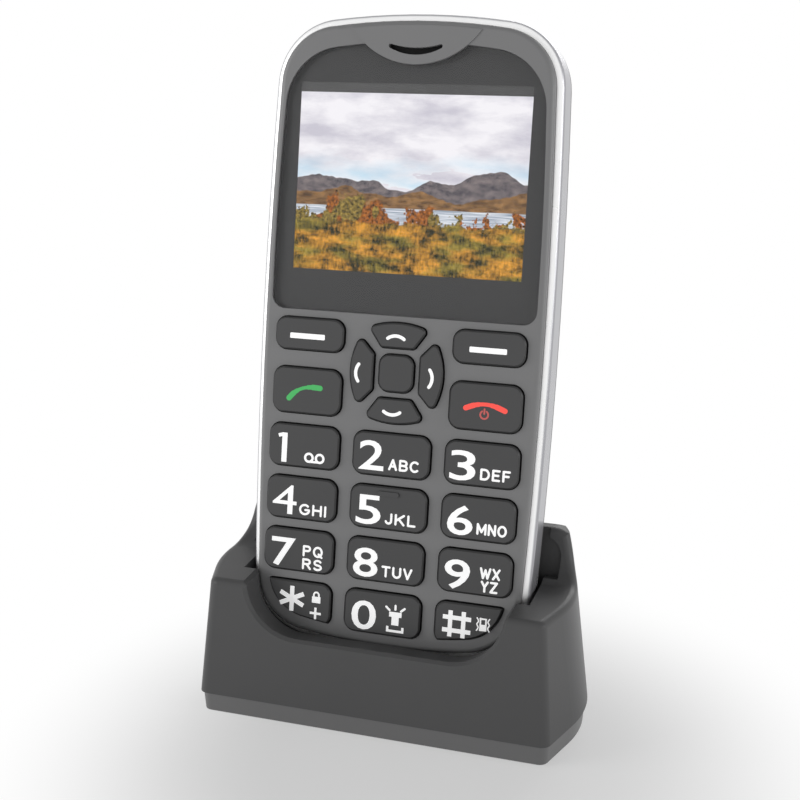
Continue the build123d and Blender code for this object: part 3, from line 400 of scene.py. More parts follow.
# %% Metals
finish("nickel", (0.62, 0.61, 0.58), 0.28, 2400.0, 0.03, 0.05, 1.0)
finish("gold", (0.86, 0.62, 0.26), 0.22, 2600.0, 0.02, 0.05, 1.0)
finish("screw_steel", (0.42, 0.42, 0.43), 0.34, 2200.0, 0.06, 0.10, 1.0)
finish("mesh_black", (0.008, 0.008, 0.008), 0.60, 6000.0, 0.40, specular=0.1)
silver = (0.36, 0.36, 0.38)
# painted highlight: a near-white band along the front edge of the silver frame stands for the bright line of
# light there
painted_highlight = (0.97, 0.97, 0.97)
frame_front = reach("rear_housing", out_dir)[1]
highlight_band_start, highlight_band_end = frame_front - 0.38 * MM, frame_front - 0.16 * MM
tree, surface = finish("silver_paint", silver, 0.28, 9000.0, 0.012, 0.04, 0.55)
tint_by_face(tree, surface, "Object", highlight_band_start, highlight_band_end, silver, painted_highlight)
print("plastics and metals", len(finishes))

# %% [markdown]
# Solder mask is a green lacquer over copper tracks, so the board gets faint paler tracks from one
# Brick texture under the mask. Clear pieces let light through. A path tracer makes a clear piece throw a
# solid shadow on what is behind it, so for shadow rays alone they are made transparent. The window is
# coated against glare and mirrors hardly anything in the photograph, so its refraction is set low.

# %% Board and clear pieces
plastic_ior = 1.49
coated_ior = 1.22

tree, surface = finish("board_green", (0.015, 0.12, 0.055), 0.30)
place = add_node(tree, "ShaderNodeTexCoord").outputs["Object"]
tracks = add_node(
    tree, "ShaderNodeTexBrick",
    {"Vector": place, "Scale": 260.0, "Mortar Size": 0.03, "Color1": (0.012, 0.11, 0.05, 1.0),
     "Color2": (0.016, 0.13, 0.06, 1.0), "Mortar": (0.05, 0.24, 0.11, 1.0)})
feed(tree, surface, {"Colour": tracks.outputs["Color"]})


def clear_piece(name, colour, gloss, ior):
    """Clear plastic or glass that lets shadow rays pass"""
    finishes[name], tree, shader = new_material(name)
    feed(tree, shader,
         {"Base Color": (*colour, 1.0), "Roughness": gloss, "IOR": ior, "Transmission Weight": 1.0})
    rays = add_node(tree, "ShaderNodeLightPath").outputs
    gap = add_node(tree, "ShaderNodeBsdfTransparent", {"Color": (*colour, 1.0)})
    passing = mixed_shader(tree, rays["Is Shadow Ray"], shader, gap)
    feed(tree, tree.nodes["Material Output"], {"Surface": passing})


clear_piece("window_glass", (0.97, 0.97, 0.97), 0.0, coated_ior)
clear_piece("clear_lens", (0.93, 0.94, 0.92), 0.08, plastic_ior)
finish("display", (0.078, 0.078, 0.079), 0.60, grain_depth=0.0, specular=0.2)
print("finishes", len(finishes))

# %% [markdown]
# A loop hands each node the finish of its slot. Only the material is exchanged, and the mesh of a CAD
# node is never touched. The dock's lower tray is moulded apart from its shell, in a slightly lighter
# grey, so that one node gets a finish of its own.

# %% Hand the finishes to the nodes
for part in frame["record"]["subparts"]:
    node = frame["nodes"][part["node"]]
    node.data.materials.clear()
    node.data.materials.append(finishes[part["material_slot"]])
frame["nodes"]["dock_base"].data.materials[0] = finishes["tray_grey"]

# %% [markdown]
# ## Printed lines
# The keys carry white printing: dashes, arrows, small signs, an asterisk and a hash. All of these are
# pen strokes of an even width, so one Geometry Nodes tree can make them all. It takes a wire mesh,
# follows it with a flat profile, and puts a small disc on each end where the ends are round. The ink is
# a few hundredths of a millimetre thick, as screen printing is. The tree gets named inputs for the
# stroke's width and depth, and its result becomes a plain mesh, because an export drops modifiers.

# %% Helpers that end and run a tree
def end_tree(tree, pieces, material, result):
    """The last nodes of a Geometry Nodes tree: its pieces joined, made real and given their material"""
    both = tree.nodes.new("GeometryNodeJoinGeometry")
    for piece in pieces:
        tree.links.new(piece, both.inputs["Geometry"])
    solid = add_node(tree, "GeometryNodeRealizeInstances", {"Geometry": both.outputs["Geometry"]})
    dressed = add_node(tree, "GeometryNodeSetMaterial",
                       {"Geometry": solid.outputs["Geometry"], "Material": material})
    feed(tree, result, {"Geometry": dressed.outputs["Geometry"]})


def evaluated_mesh(thing):
    """Plain mesh of an object with its modifiers applied, in place of the object"""
    graph = bpy.context.evaluated_depsgraph_get()
    result = bpy.data.meshes.new_from_object(thing.evaluated_get(graph))
    bpy.data.objects.remove(thing)
    return result


def run_tree(name, mesh, tree, values):
    """Mesh that a tree makes of another mesh, its inputs set by the identifiers of their sockets"""
    thing = place_object(name, mesh)
    modifier = thing.modifiers.new(tree.name, "NODES")
    modifier.node_group = tree
    for item in tree.interface.items_tree:
        if item.item_type == "SOCKET" and item.in_out == "INPUT" and item.name in values:
            modifier[item.identifier] = values[item.name]
    return evaluated_mesh(thing)


print("helpers ready, groups so far", len(bpy.data.node_groups))

# %% Geometry Nodes tree for printed lines
ink_depth = 0.03 * MM
disc_sides = 20
stroke_tree, given, result = new_group(
    "printed_line", "GeometryNodeTree",
    [("Geometry", "Geometry"), ("Width", "Float", 0.5 * MM), ("Depth", "Float", ink_depth),
     ("Round Ends", "Bool", True), ("Ink", "Material")],
    [("Geometry", "Geometry")])
line = add_node(stroke_tree, "GeometryNodeMeshToCurve", {"Mesh": given["Geometry"]}).outputs["Curve"]
flat = add_node(stroke_tree, "GeometryNodeSetCurveNormal", {"Curve": line}, mode="Z_UP")
profile = add_node(stroke_tree, "GeometryNodeCurvePrimitiveQuadrilateral",
                   {"Width": given["Width"], "Height": given["Depth"]})
sweep = add_node(stroke_tree, "GeometryNodeCurveToMesh",
                 {"Curve": flat.outputs["Curve"], "Profile Curve": profile.outputs["Curve"],
                  "Fill Caps": True})
radius = math_node(stroke_tree, "MULTIPLY", given["Width"], 0.5)
disc = add_node(stroke_tree, "GeometryNodeMeshCylinder",
                {"Vertices": disc_sides, "Radius": radius, "Depth": given["Depth"]})
tips = add_node(stroke_tree, "GeometryNodeCurveEndpointSelection")
rounded = add_node(stroke_tree, "FunctionNodeBooleanMath",
                   {0: tips.outputs["Selection"], 1: given["Round Ends"]}, operation="AND")
ends = add_node(stroke_tree, "GeometryNodeInstanceOnPoints",
                {"Points": line, "Selection": rounded.outputs[0], "Instance": disc.outputs["Mesh"]})
end_tree(stroke_tree, (sweep.outputs["Mesh"], ends.outputs["Instances"]), given["Ink"], result)
print("tree", stroke_tree.name, len(stroke_tree.nodes), "nodes")

# %% [markdown]
# The tree draws any line that it is given. Most lines here are parts of ellipses and circles, and the
# handsets follow a smooth curve through a few points, so small functions make those runs of points.

# %% Strokes and curves
def printed_line(runs, width, round_ends=True, closed=False, ink=None):
    """Strokes along runs of points given in millimetres, as a mesh lying flat, white unless told"""
    wire = bpy.data.meshes.new("printed_line")
    points, edges = [], []
    for run in runs:
        first = len(points)
        points += [(x * MM, y * MM, 0.0) for x, y in run]
        edges += [(index, index + 1) for index in range(first, len(points) - 1)]
        if closed:
            edges.append((len(points) - 1, first))
    wire.from_pydata(points, edges, [])
    return run_tree("printed_line", wire, stroke_tree,
                    {"Width": width * MM, "Depth": ink_depth, "Round Ends": round_ends,
                     "Ink": ink or finishes["white_ink"]})


def bow(x, y, wide, high, start, end, steps=12):
    """Points along part of an ellipse, angles in degrees from the right"""
    turns = [math.radians(start + (end - start) * step / steps) for step in range(steps + 1)]
    return [(x + wide * math.cos(turn), y + high * math.sin(turn)) for turn in turns]


def arc(x, y, radius, start, end):
    """Points round part of a circle, angles in degrees from the right"""
    return bow(x, y, radius, radius, start, end, 16)


def smooth_run(points, steps=6):
    """A smooth line through a few points"""
    ends = [points[0]] + list(points) + [points[-1]]
    run = []
    for before, start, end, after in zip(ends, ends[1:], ends[2:], ends[3:]):
        for step in range(steps):
            t = step / steps
            run.append(tuple(
                0.5 * (2 * b + (c - a) * t + (2 * a - 5 * b + 4 * c - d) * t ** 2
                       + (3 * b - a - 3 * c + d) * t ** 3)
                for a, b, c, d in zip(before, start, end, after)))
    return run + [points[-1]]


print("half circle", len(arc(0, 0, 1, 0, 180)), "points")

# %% [markdown]
# ## Lettering
# The digits are ordinary text. A text object is turned into a mesh first, and then scaled to the box that
# the digit fills on the real key, because the phone's digits are wider than those of the built-in font.
# The small letters on the real keys are the plain round-ended kind that an engraver's pen makes, so they
# are drawn with the same pen stroke as the signs. Each letter is a few runs in a box from 0 to 1.
# Every sign of a key is then joined into one skin of ink and laid on its cap.

# %% Digits as text
def digit_text(digit, width, height, weight):
    """A digit as a mesh, scaled to fill a box given in millimetres and centred on it"""
    curve = bpy.data.curves.new("digit", "FONT")
    curve.body = digit
    curve.offset = weight
    curve.extrude = 0.01  # any depth will do, because the box below scales it
    curve.resolution_u = 4
    mesh = evaluated_mesh(place_object("digit", curve))
    low = [min(vertex.co[axis] for vertex in mesh.vertices) for axis in range(3)]
    high = [max(vertex.co[axis] for vertex in mesh.vertices) for axis in range(3)]
    size = (width * MM, height * MM, ink_depth)
    for vertex in mesh.vertices:
        vertex.co = [
            (vertex.co[axis] - (low[axis] + high[axis]) / 2) * size[axis] / (high[axis] - low[axis])
            for axis in range(3)
        ]
    mesh.materials.clear()
    mesh.materials.append(finishes["white_ink"])
    return mesh


print("digits", round(ink_depth / MM, 3), "mm thick")

# %% Letters as runs of a pen
upper_bowl = [(0, 0), (0, 1), (0.55, 1)] + bow(0.55, 0.75, 0.4, 0.25, 90, -90) + [(0, 0.5)]
round_letter = bow(0.5, 0.5, 0.5, 0.5, 90, 450, 24)
letter_runs = {
    "A": [[(0, 0), (0.5, 1), (1, 0)], [(0.18, 0.33), (0.82, 0.33)]],
    "B": [upper_bowl, [(0.5, 0.5)] + bow(0.58, 0.25, 0.42, 0.25, 90, -90) + [(0, 0)]],
    "C": [bow(0.55, 0.5, 0.55, 0.5, 48, 312, 20)],
    "D": [[(0, 0), (0, 1), (0.45, 1)] + bow(0.45, 0.5, 0.55, 0.5, 90, -90) + [(0, 0)]],
    "E": [[(1, 1), (0, 1), (0, 0), (1, 0)], [(0, 0.52), (0.85, 0.52)]],
    "F": [[(1, 1), (0, 1), (0, 0)], [(0, 0.52), (0.85, 0.52)]],
    "G": [bow(0.52, 0.5, 0.52, 0.5, 48, 340, 20) + [(1.0, 0.46), (0.6, 0.46)]],
    "H": [[(0, 0), (0, 1)], [(1, 0), (1, 1)], [(0, 0.52), (1, 0.52)]],
    "I": [[(0, 0), (0, 1)]],
    "J": [[(1, 1), (1, 0.3)] + bow(0.5, 0.3, 0.5, 0.3, 0, -165)],
    "K": [[(0, 0), (0, 1)], [(1, 1), (0, 0.38)], [(0.35, 0.6), (1, 0)]],
    "L": [[(0, 1), (0, 0), (1, 0)]],
    "M": [[(0, 0), (0, 1), (0.5, 0.2), (1, 1), (1, 0)]],
    "N": [[(0, 0), (0, 1), (1, 0), (1, 1)]],
    "O": [round_letter],
    "P": [upper_bowl],
    "Q": [round_letter, [(0.62, 0.28), (1, -0.05)]],
    "R": [upper_bowl, [(0.5, 0.5), (1, 0)]],
    "S": [bow(0.5, 0.75, 0.45, 0.25, 30, 270) + bow(0.5, 0.25, 0.5, 0.25, 80, -150)],
    "T": [[(0, 1), (1, 1)], [(0.5, 1), (0.5, 0)]],
    "U": [[(0, 1), (0, 0.38)] + bow(0.5, 0.38, 0.5, 0.38, 180, 360) + [(1, 1)]],
    "V": [[(0, 1), (0.5, 0), (1, 1)]],
    "W": [[(0, 1), (0.26, 0), (0.5, 0.85), (0.74, 0), (1, 1)]],
    "X": [[(0, 1), (1, 0)], [(0, 0), (1, 1)]],
    "Y": [[(0, 1), (0.5, 0.48), (1, 1)], [(0.5, 0.48), (0.5, 0)]],
    "Z": [[(0, 1), (1, 1), (0, 0), (1, 0)]],
}
print("letters", len(letter_runs))

# %% Rows of letters
common_letter_width = 0.82
letter_widths = {"I": 0.01, "J": 0.55, "L": 0.66, "E": 0.66, "F": 0.64, "M": 1.05, "W": 1.30, "O": 0.98,
                 "G": 0.95, "C": 0.88, "Q": 0.98}
letter_gap = 0.46
letter_height = 2.4
letter_stroke = 0.46
sharp_turn = math.radians(35)


def cut_at_corners(run):
    """The run as pieces that each bend gently, so that a pen with round ends joins them cleanly"""
    pieces = [[run[0]]]
    for before, here, after in zip(run, run[1:], run[2:]):
        pieces[-1].append(here)
        first = Vector((here[0] - before[0], here[1] - before[1]))
        second = Vector((after[0] - here[0], after[1] - here[1]))
        if first.length > 0 and second.length > 0 and first.angle(second) > sharp_turn:
            pieces.append([here])
    pieces[-1].append(run[-1])
    return pieces


def letter_row(words, width):
    """Letters drawn with a pen, spread over a width in millimetres and centred"""
    widths = [letter_widths.get(letter, common_letter_width) for letter in words]
    total = sum(widths) + letter_gap * (len(words) - 1)
    scale = (width - letter_stroke) / total
    start = -(width - letter_stroke) / 2
    runs = []
    for letter, wide in zip(words, widths):
        for run in letter_runs[letter]:
            placed = [(start + x * wide * scale, (y - 0.5) * (letter_height - letter_stroke))
                      for x, y in run]
            runs += cut_at_corners(placed)
        start += (wide + letter_gap) * scale
    return printed_line(runs, letter_stroke)


print("letters", letter_height, "mm high")

# %% [markdown]
# Strokes overlap wherever a sign has more than one, and overlapping skins would flicker. One more tree
# unites them with Mesh Boolean. It also turns smooth shading off, because ink lies flat.

# %% Skin of ink
ink_tree, given, result = new_group(
    "ink_skin", "GeometryNodeTree", [("Geometry", "Geometry"), ("Ink", "Material")],
    [("Geometry", "Geometry")])
merge = add_node(ink_tree, "GeometryNodeMeshBoolean",
                 {"Mesh 2": given["Geometry"], "Self Intersection": True},
                 operation="UNION", solver="EXACT")
crisp = add_node(ink_tree, "GeometryNodeSetShadeSmooth",
                 {0: merge.outputs["Mesh"], "Shade Smooth": False})
end_tree(ink_tree, [crisp.outputs[0]], given["Ink"], result)
ink_weld = 0.0005 * MM


def moved(mesh, x, y):
    """The mesh, shifted by millimetres"""
    mesh.transform(Matrix.Translation((x * MM, y * MM, 0.0)))
    return mesh


def lay_on_key(key, signs, ink=None, name=None, centre=None):
    """Signs drawn round a key's middle, made one skin of ink, laid on its top and riding on its cap"""
    name = name or "print_" + key
    whole = bmesh.new()
    for mesh in signs:
        whole.from_mesh(mesh)
    bmesh.ops.remove_doubles(whole, verts=whole.verts, dist=ink_weld)
    bmesh.ops.recalc_face_normals(whole, faces=whole.faces)
    flat = bpy.data.meshes.new(name)
    whole.to_mesh(flat)
    whole.free()
    skin = run_tree(name, flat, ink_tree, {"Ink": ink or finishes["white_ink"]})
    thing = place_object(name, skin)
    across, up = centre or face_centre(key)
    skin.transform(face_matrix(across, up, key_top + ink_depth / 2))
    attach(thing, key + "_cap")


print("tree", ink_tree.name, len(ink_tree.nodes), "nodes")

# %% [markdown]
# ## Inks
# The display is on, and on such a phone the keypad lamps come on with it and shine through the printing.
# The inks therefore glow a little in their own colour, which keeps the white legends whiter than paper in
# the same light.

# %% Inks
for name, colour, strength in (
        ("white_ink", (0.90, 0.90, 0.90), 0.28), ("green_ink", (0.060, 0.47, 0.12), 0.05),
        ("red_ink", (0.98, 0.085, 0.065), 0.15), ("dim_red_ink", (0.55, 0.105, 0.095), 0.05)):
    tree, surface = finish(name, colour, 0.55, 7000.0, 0.04, 0.03)
    feed(tree, tree.nodes["Principled BSDF"],
         {"Emission Color": (*colour, 1.0), "Emission Strength": strength})
print("finishes with the inks", len(finishes))

# %% [markdown]
# ## Digits and letters of the number keys
# Each number key has a large digit on its left half and its letters on the right. The places are in
# millimetres from the middle of the cap, so they move with it. The letters on 7 and 9 stand in two
# rows, because four of them don't fit in one. The digits are made a little bolder than the font, apart
# from the 4, whose small opening that would close. The 0 shares its key with a torch sign.

# %% Number keys
digit_width = 5.4
digit_height = 6.15
digit_weight = 0.010
digit_places = {
    "key_2": ("2", -4.15, -0.35), "key_3": ("3", -3.85, -0.5), "key_4": ("4", -3.65, -0.5),
    "key_5": ("5", -4.15, -0.65), "key_6": ("6", -3.7, -0.6), "key_7": ("7", -3.4, -0.65),
    "key_8": ("8", -4.15, -0.65), "key_9": ("9", -3.6, -0.7), "key_0": ("0", -3.9, -0.75),
}
letter_places = {
    "key_2": [("ABC", 6.6, 2.9, -1.9)], "key_3": [("DEF", 6.3, 3.0, -1.9)],
    "key_4": [("GHI", 6.1, 2.75, -2.25)], "key_5": [("JKL", 6.7, 2.85, -2.1)],
    "key_6": [("MNO", 6.3, 3.0, -1.95)], "key_7": [("PQ", 4.5, 3.25, 0.1), ("RS", 4.5, 3.25, -2.7)],
    "key_8": [("TUV", 6.7, 2.75, -2.1)], "key_9": [("WX", 4.3, 3.25, 0.2), ("YZ", 3.6, 3.25, -2.55)],
}
lamp_sign = [
    ([[(0.95, 1.7), (1.7, 1.05)], [(2.95, 2.1), (2.95, 1.3)], [(4.95, 1.7), (4.2, 1.05)]], 0.45),
    ([[(3.0, 0.75), (3.0, -0.3)]], 2.7, False),
    ([[(3.0, -0.3), (3.0, -2.05)]], 1.55, False),
    ([[(1.4, -2.35), (1.4, -3.3)], [(1.15, -3.3), (4.95, -3.3)], [(4.7, -3.3), (4.7, -2.35)]], 0.5,
     False),
]
for key, (digit, x, y) in digit_places.items():
    weight = 0.0 if digit == "4" else digit_weight
    signs = [moved(digit_text(digit, digit_width, digit_height, weight), x, y)]
    for words, width, left, rise in letter_places.get(key, []):
        signs.append(moved(letter_row(words, width), left, rise))
    if key == "key_0":
        signs += [printed_line(*stroke) for stroke in lamp_sign]
    lay_on_key(key, signs)
print("printed", len(digit_places), "number keys")

# %% [markdown]
# Three keys are drawn with strokes alone. The phone's 1 has a short flag and no foot, and the tape reels
# of a voice mailbox stand beside it. The star and the hash are crossed bars, with a padlock and a plus
# beside the one and a shaking phone beside the other. Both keys lose a corner to the phone's round foot,
# which moves the middle of the cap inwards, so their signs are moved outwards again.

# %% One, star and hash
corner_trim = 0.7
tape_reels = [arc(1.3, -2.3, 0.85, 0, 345), arc(3.7, -2.3, 0.85, 0, 345)]
star_arms = [[(-0.95 + x, 0.3 + y), (-0.95 - x, 0.3 - y)]
             for x, y in ((0, 2.7), (2.65, 1.25), (2.65, -1.25))]
hash_bars = [[(-4.4, -3.05), (-4.4, 2.45)], [(-1.6, -3.05), (-1.6, 2.45)],
             [(-6.0, 1.0), (0.0, 1.0)], [(-6.0, -1.7), (0.0, -1.7)]]
shakes = [smooth_run([(x + side * 0.16 * (-1) ** step, -0.95 + 0.65 * step) for step in range(5)])
          for side, x in ((-1, 1.4), (1, 3.7))]
signs_of_key = {
    "key_1": (0.0, [
        ([[(-4.3, -3.7), (-4.3, 2.5)]], 1.15, False),
        ([[(-5.7, 1.85), (-4.5, 2.2)]], 0.75, False),
        (tape_reels, 0.5, True, True),
        ([[(1.3, -3.12), (3.7, -3.12)]], 0.45)]),
    "key_star": (-corner_trim, [
        (star_arms, 0.95, False),
        ([[(4.55, 0.0), (4.55, 1.35)]], 1.9, False),
        ([[(3.98, 1.3)] + arc(4.55, 1.72, 0.57, 180, 0) + [(5.12, 1.3)]], 0.36),
        ([[(3.25, -2.25), (5.75, -2.25)], [(4.5, -3.5), (4.5, -1.0)]], 0.5, False)]),
    "key_hash": (corner_trim, [
        (hash_bars, 0.9, False),
        ([[(1.97, -0.82), (3.13, -0.82), (3.13, 1.52), (1.97, 1.52)]], 0.46, True, True),
        ([[(2.55, -0.9), (2.55, 0.35)]], 1.2, False),
        (shakes, 0.26)]),
}
for key, (shift, strokes) in signs_of_key.items():
    lay_on_key(key, [moved(printed_line(*stroke), shift, 0.0) for stroke in strokes])
print("printed", ", ".join(signs_of_key))

# %% [markdown]
# ## Call and end keys
# The call and end keys show a handset, thick at both ends and thin between. It is drawn as one thin
# smooth stroke, with shorter and thicker ones over its ends. The power sign below the red handset has a
# dimmer red, so it is a piece of its own.

# %% Call and end keys
def handset(points, thin, thick, ink):
    """A curved handset: a smooth line that swells in steps towards both ends"""
    run = smooth_run(points)
    strokes = [printed_line([run], thin, ink=ink)]
    for share, reach_in in ((0.5, 9), (1.0, 6)):
        width = thin + (thick - thin) * share
        strokes.append(printed_line([run[:reach_in], run[-reach_in:]], width, ink=ink))
    return strokes


green_ink, red_ink, dim_red_ink = [finishes[name] for name in ("green_ink", "red_ink", "dim_red_ink")]
answer_line = [(-3.85, -1.75), (-2.6, -0.45), (-0.9, 0.5), (1.0, 0.85), (3.0, 0.8)]
hang_up_line = [(-4.0, -0.4), (-2.0, 0.35), (0.0, 0.6), (2.0, 0.35), (4.1, -0.4)]
lay_on_key("key_call", handset(answer_line, 0.72, 1.15, green_ink), green_ink)
lay_on_key("key_end", handset(hang_up_line, 0.78, 1.1, red_ink), red_ink)
power_sign = [printed_line([run], 0.36, ink=dim_red_ink)
              for run in (arc(-0.1, -1.5, 0.82, 125, 415), [(-0.1, -0.35), (-0.1, -1.3)])]
lay_on_key("key_end", power_sign, dim_red_ink, "print_power_sign")
print("printed call and end keys")

# %% [markdown]
# ## Menu and arrow keys
# The arrows are four equal arcs, so they come from a loop that turns one arc round the middle of the
# pad. A menu dash has slightly rounded corners, so it is a thin round-ended outline with a square-ended
# stroke inside.

# %% Menu dashes and arrows
dash_level, dash_half, dash_rise, dash_edge = -0.45, 3.65, 0.36, 0.4
for key, shift in (("key_soft_left", -0.4), ("key_soft_right", -0.15)):
    west, east = shift - dash_half, shift + dash_half
    south, north = dash_level - dash_rise, dash_level + dash_rise
    edges = [[(west, south), (east, south)], [(west, north), (east, north)],
             [(west, south), (west, north)], [(east, south), (east, north)]]
    dash = [printed_line(edges, dash_edge),
            printed_line([[(west, dash_level), (east, dash_level)]], 2 * dash_rise, False)]
    lay_on_key(key, dash)
arrow_shift = (-0.35, -0.4)
arrow_spread = 37
arrow_bend = 2.9
for key, turn, far in (("key_up", 90, 8.1), ("key_down", 270, 8.1), ("key_left", 180, 8.25),
                       ("key_right", 0, 8.15)):
    heart = (arrow_shift[0] + (far - arrow_bend) * math.cos(math.radians(turn)),
             arrow_shift[1] + (far - arrow_bend) * math.sin(math.radians(turn)))
    arrow = printed_line([arc(*heart, arrow_bend, turn - arrow_spread, turn + arrow_spread)], 0.68)
    lay_on_key(key, [arrow], centre=face_centre("key_ok"))
print("printed dashes and arrows")

# %% [markdown]
# ## Window print
# The display window is one clear sheet. The dark border that we see is ink on its back, with an opening
# for the picture. The sheet's outline is already in the CAD node, so the border is cut from a copy of
# that node: we keep the loop of its flat back, fill it again, and cut the opening out of it.

# %% Border behind the window
border_depth = 0.03 * MM
border_gap = 0.01 * MM
weld = 0.001 * MM
same_level = 0.01 * MM
picture_side_border = 2.1 * MM
picture_end_border = 3.2 * MM
strip_height = 2.0 * MM
lcd_left, lcd_right = reach("lcd_module", across_dir)
lcd_low, lcd_high = reach("lcd_module", up_dir)
picture_left, picture_right = lcd_left + picture_side_border, lcd_right - picture_side_border
picture_low, picture_high = lcd_low + picture_end_border, lcd_high - picture_end_border
opening_high = picture_high + strip_height


def window_border():
    """Ink border on the back of the window, with its opening"""
    lens = bmesh.new()
    lens.from_mesh(frame["nodes"]["display_lens"].data)
    bmesh.ops.remove_doubles(lens, verts=lens.verts, dist=weld)
    back_level = min(vertex.co.dot(out_dir) for vertex in lens.verts)
    edges = [edge for edge in lens.edges
             if all(abs(vertex.co.dot(out_dir) - back_level) < same_level for vertex in edge.verts)
             and any(abs(face.normal.dot(out_dir)) < 0.5 for face in edge.link_faces)]
    loops = [[vertex.co.copy() for vertex in edge.verts] for edge in edges]
    lens.free()
    border = bmesh.new()
    for ends in loops:
        border.edges.new([border.verts.new(place + out_dir * border_gap) for place in ends])
    corners = [border.verts.new(across_dir * x + up_dir * y + out_dir * (back_level + border_gap))
               for x, y in ((picture_left, picture_low), (picture_right, picture_low),
                            (picture_right, opening_high), (picture_left, opening_high))]
    for index in range(len(corners)):
        border.edges.new((corners[index - 1], corners[index]))
    bmesh.ops.remove_doubles(border, verts=border.verts, dist=weld)
    bmesh.ops.triangle_fill(border, edges=border.edges, use_beauty=True, use_dissolve=False,
                            normal=out_dir)
    inside = [face for face in border.faces
              if picture_left < face.calc_center_median().dot(across_dir) < picture_right
              and picture_low < face.calc_center_median().dot(up_dir) < opening_high]
    bmesh.ops.delete(border, geom=inside, context="FACES_ONLY")
    raised = bmesh.ops.extrude_face_region(border, geom=border.faces[:])
    bmesh.ops.translate(border, vec=out_dir * border_depth,
                        verts=[item for item in raised["geom"] if isinstance(item, bmesh.types.BMVert)])
    bmesh.ops.recalc_face_normals(border, faces=border.faces)
    mesh = bpy.data.meshes.new("window_border")
    border.to_mesh(mesh)
    border.free()
    return place_object("window_border", mesh)


finish("border_ink", (0.055, 0.055, 0.056), 0.60, 9000.0, 0.001, 0.04, specular=0.2)
border = window_border()
border.data.materials.append(finishes["border_ink"])
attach(border, "phone")
print("border", len(border.data.polygons), "faces")

# %% [markdown]
# ## The picture on the display
# The lit picture is a landscape of a general kind, of our own making: a cloudy sky, two ranges of low
# hills, a lake, a line of autumn shrubs and a field of dry grass. It is painted by the material, from
# the back to the front as a stage painter does, each layer covering what is behind it below its own
# skyline. A skyline is a one-dimensional noise read along the picture's width, so one node group serves
# every layer. The picture piece has its own UV map, which runs from 0 to 1 up and across.

# %% Skyline group
skyline_group, given, result = new_group(
    "skyline", "ShaderNodeTree",
    [("Place", "Vector"), ("Level", "Float", 0.5), ("Swing", "Float", 0.2),
     ("Width Scale", "Float", 2.0), ("Detail", "Float", 3.0), ("Seed", "Float", 0.0),
     ("Softness", "Float", 0.004)],
    [("Mask", "Float")])
parts = add_node(skyline_group, "ShaderNodeSeparateXYZ", {0: given["Place"]}).outputs
along = math_node(skyline_group, "MULTIPLY_ADD", parts["X"], given["Width Scale"], given["Seed"])
wave = add_node(skyline_group, "ShaderNodeTexNoise", {"W": along, "Scale": 1.0, "Detail": given["Detail"]},
                noise_dimensions="1D")
swing = math_node(skyline_group, "SUBTRACT", wave.outputs["Fac"], 0.5)
line = math_node(skyline_group, "MULTIPLY_ADD", swing, given["Swing"], given["Level"])
depth = math_node(skyline_group, "SUBTRACT", line, parts["Y"])
soft = math_node(skyline_group, "DIVIDE", depth, given["Softness"])
mask = add_node(skyline_group, "ShaderNodeClamp", {"Value": soft})
feed(skyline_group, result, {"Mask": mask.outputs[0]})
print("group", skyline_group.name, len(skyline_group.nodes), "nodes")

# %% [markdown]
# A painter needs tools first. Ours are a noise that can be stretched, two tones that run into each
# other, and the mask of everything under a skyline. All of them read the picture's own UV map, so the
# landscape stays on its sheet wherever the phone goes.

# %% Tools of the painter
picture_ratio = (picture_right - picture_left) / (picture_high - picture_low)
screen_finish, tree, shader = new_material("landscape_picture")


def stretched(vector, x_scale, y_scale, shift=0.0):
    """A vector whose pattern is stretched and shifted"""
    mapping = add_node(tree, "ShaderNodeMapping",
                       {"Vector": vector, "Scale": (x_scale, y_scale, 1.0),
                        "Location": (shift, shift, 0.0)})
    return mapping.outputs[0]


uv = add_node(tree, "ShaderNodeUVMap", uv_map="picture").outputs["UV"]
place = stretched(uv, picture_ratio, 1.0)
parts = add_node(tree, "ShaderNodeSeparateXYZ", {0: place}).outputs


def mottle(y_scale, shift, scale, detail=4.0, roughness=0.5, x_scale=1.0):
    """Noise over the picture, stretched up or down"""
    return noise_node(tree, stretched(place, x_scale, y_scale, shift), scale, detail, roughness)


def two_tones(factor, dark, light, low=0.35, high=0.65):
    """A colour that runs between two tones as a factor rises"""
    ramp = tree.nodes.new("ShaderNodeValToRGB")
    for element, position, colour in zip(ramp.color_ramp.elements, (low, high), (dark, light)):
        element.position = position
        element.color = (*colour, 1.0)
    return feed(tree, ramp, {"Fac": factor}).outputs["Color"]


def skyline(level, swing, width_scale, detail, seed, softness=0.004):
    """Mask of everything under one skyline"""
    values = {"Place": place, "Level": level, "Swing": swing, "Width Scale": width_scale,
              "Detail": detail, "Seed": seed, "Softness": softness}
    return add_node(tree, "ShaderNodeGroup", values, node_tree=skyline_group).outputs["Mask"]


print("picture", round(picture_ratio, 3), "wide for 1 high")

# %% [markdown]
# The clouds are a soft noise in greys, with blue showing through its gaps low in the sky. The far hills
# are greyer and the near ones browner, which is how distance looks, and the lake is a noise drawn out
# sideways into ripples.

# %% Sky, hills and lake
cloud = mottle(2.6, 3.1, 2.3, 7.0, 0.58)
sky = two_tones(cloud, (0.60, 0.58, 0.66), (0.93, 0.91, 0.95), 0.36, 0.60)
gap = mottle(2.4, 7.7, 1.7, 5.0, x_scale=0.8)
low_sky = skyline(0.70, 0.10, 1.0, 1.0, 2.0, 0.22)
blue = math_node(tree, "MULTIPLY", low_sky, math_node(tree, "GREATER_THAN", gap, 0.52))
veil = two_tones(gap, (0.86, 0.90, 0.95), (0.42, 0.72, 0.90), 0.52, 0.66)
picture = over(tree, blue, sky, veil)

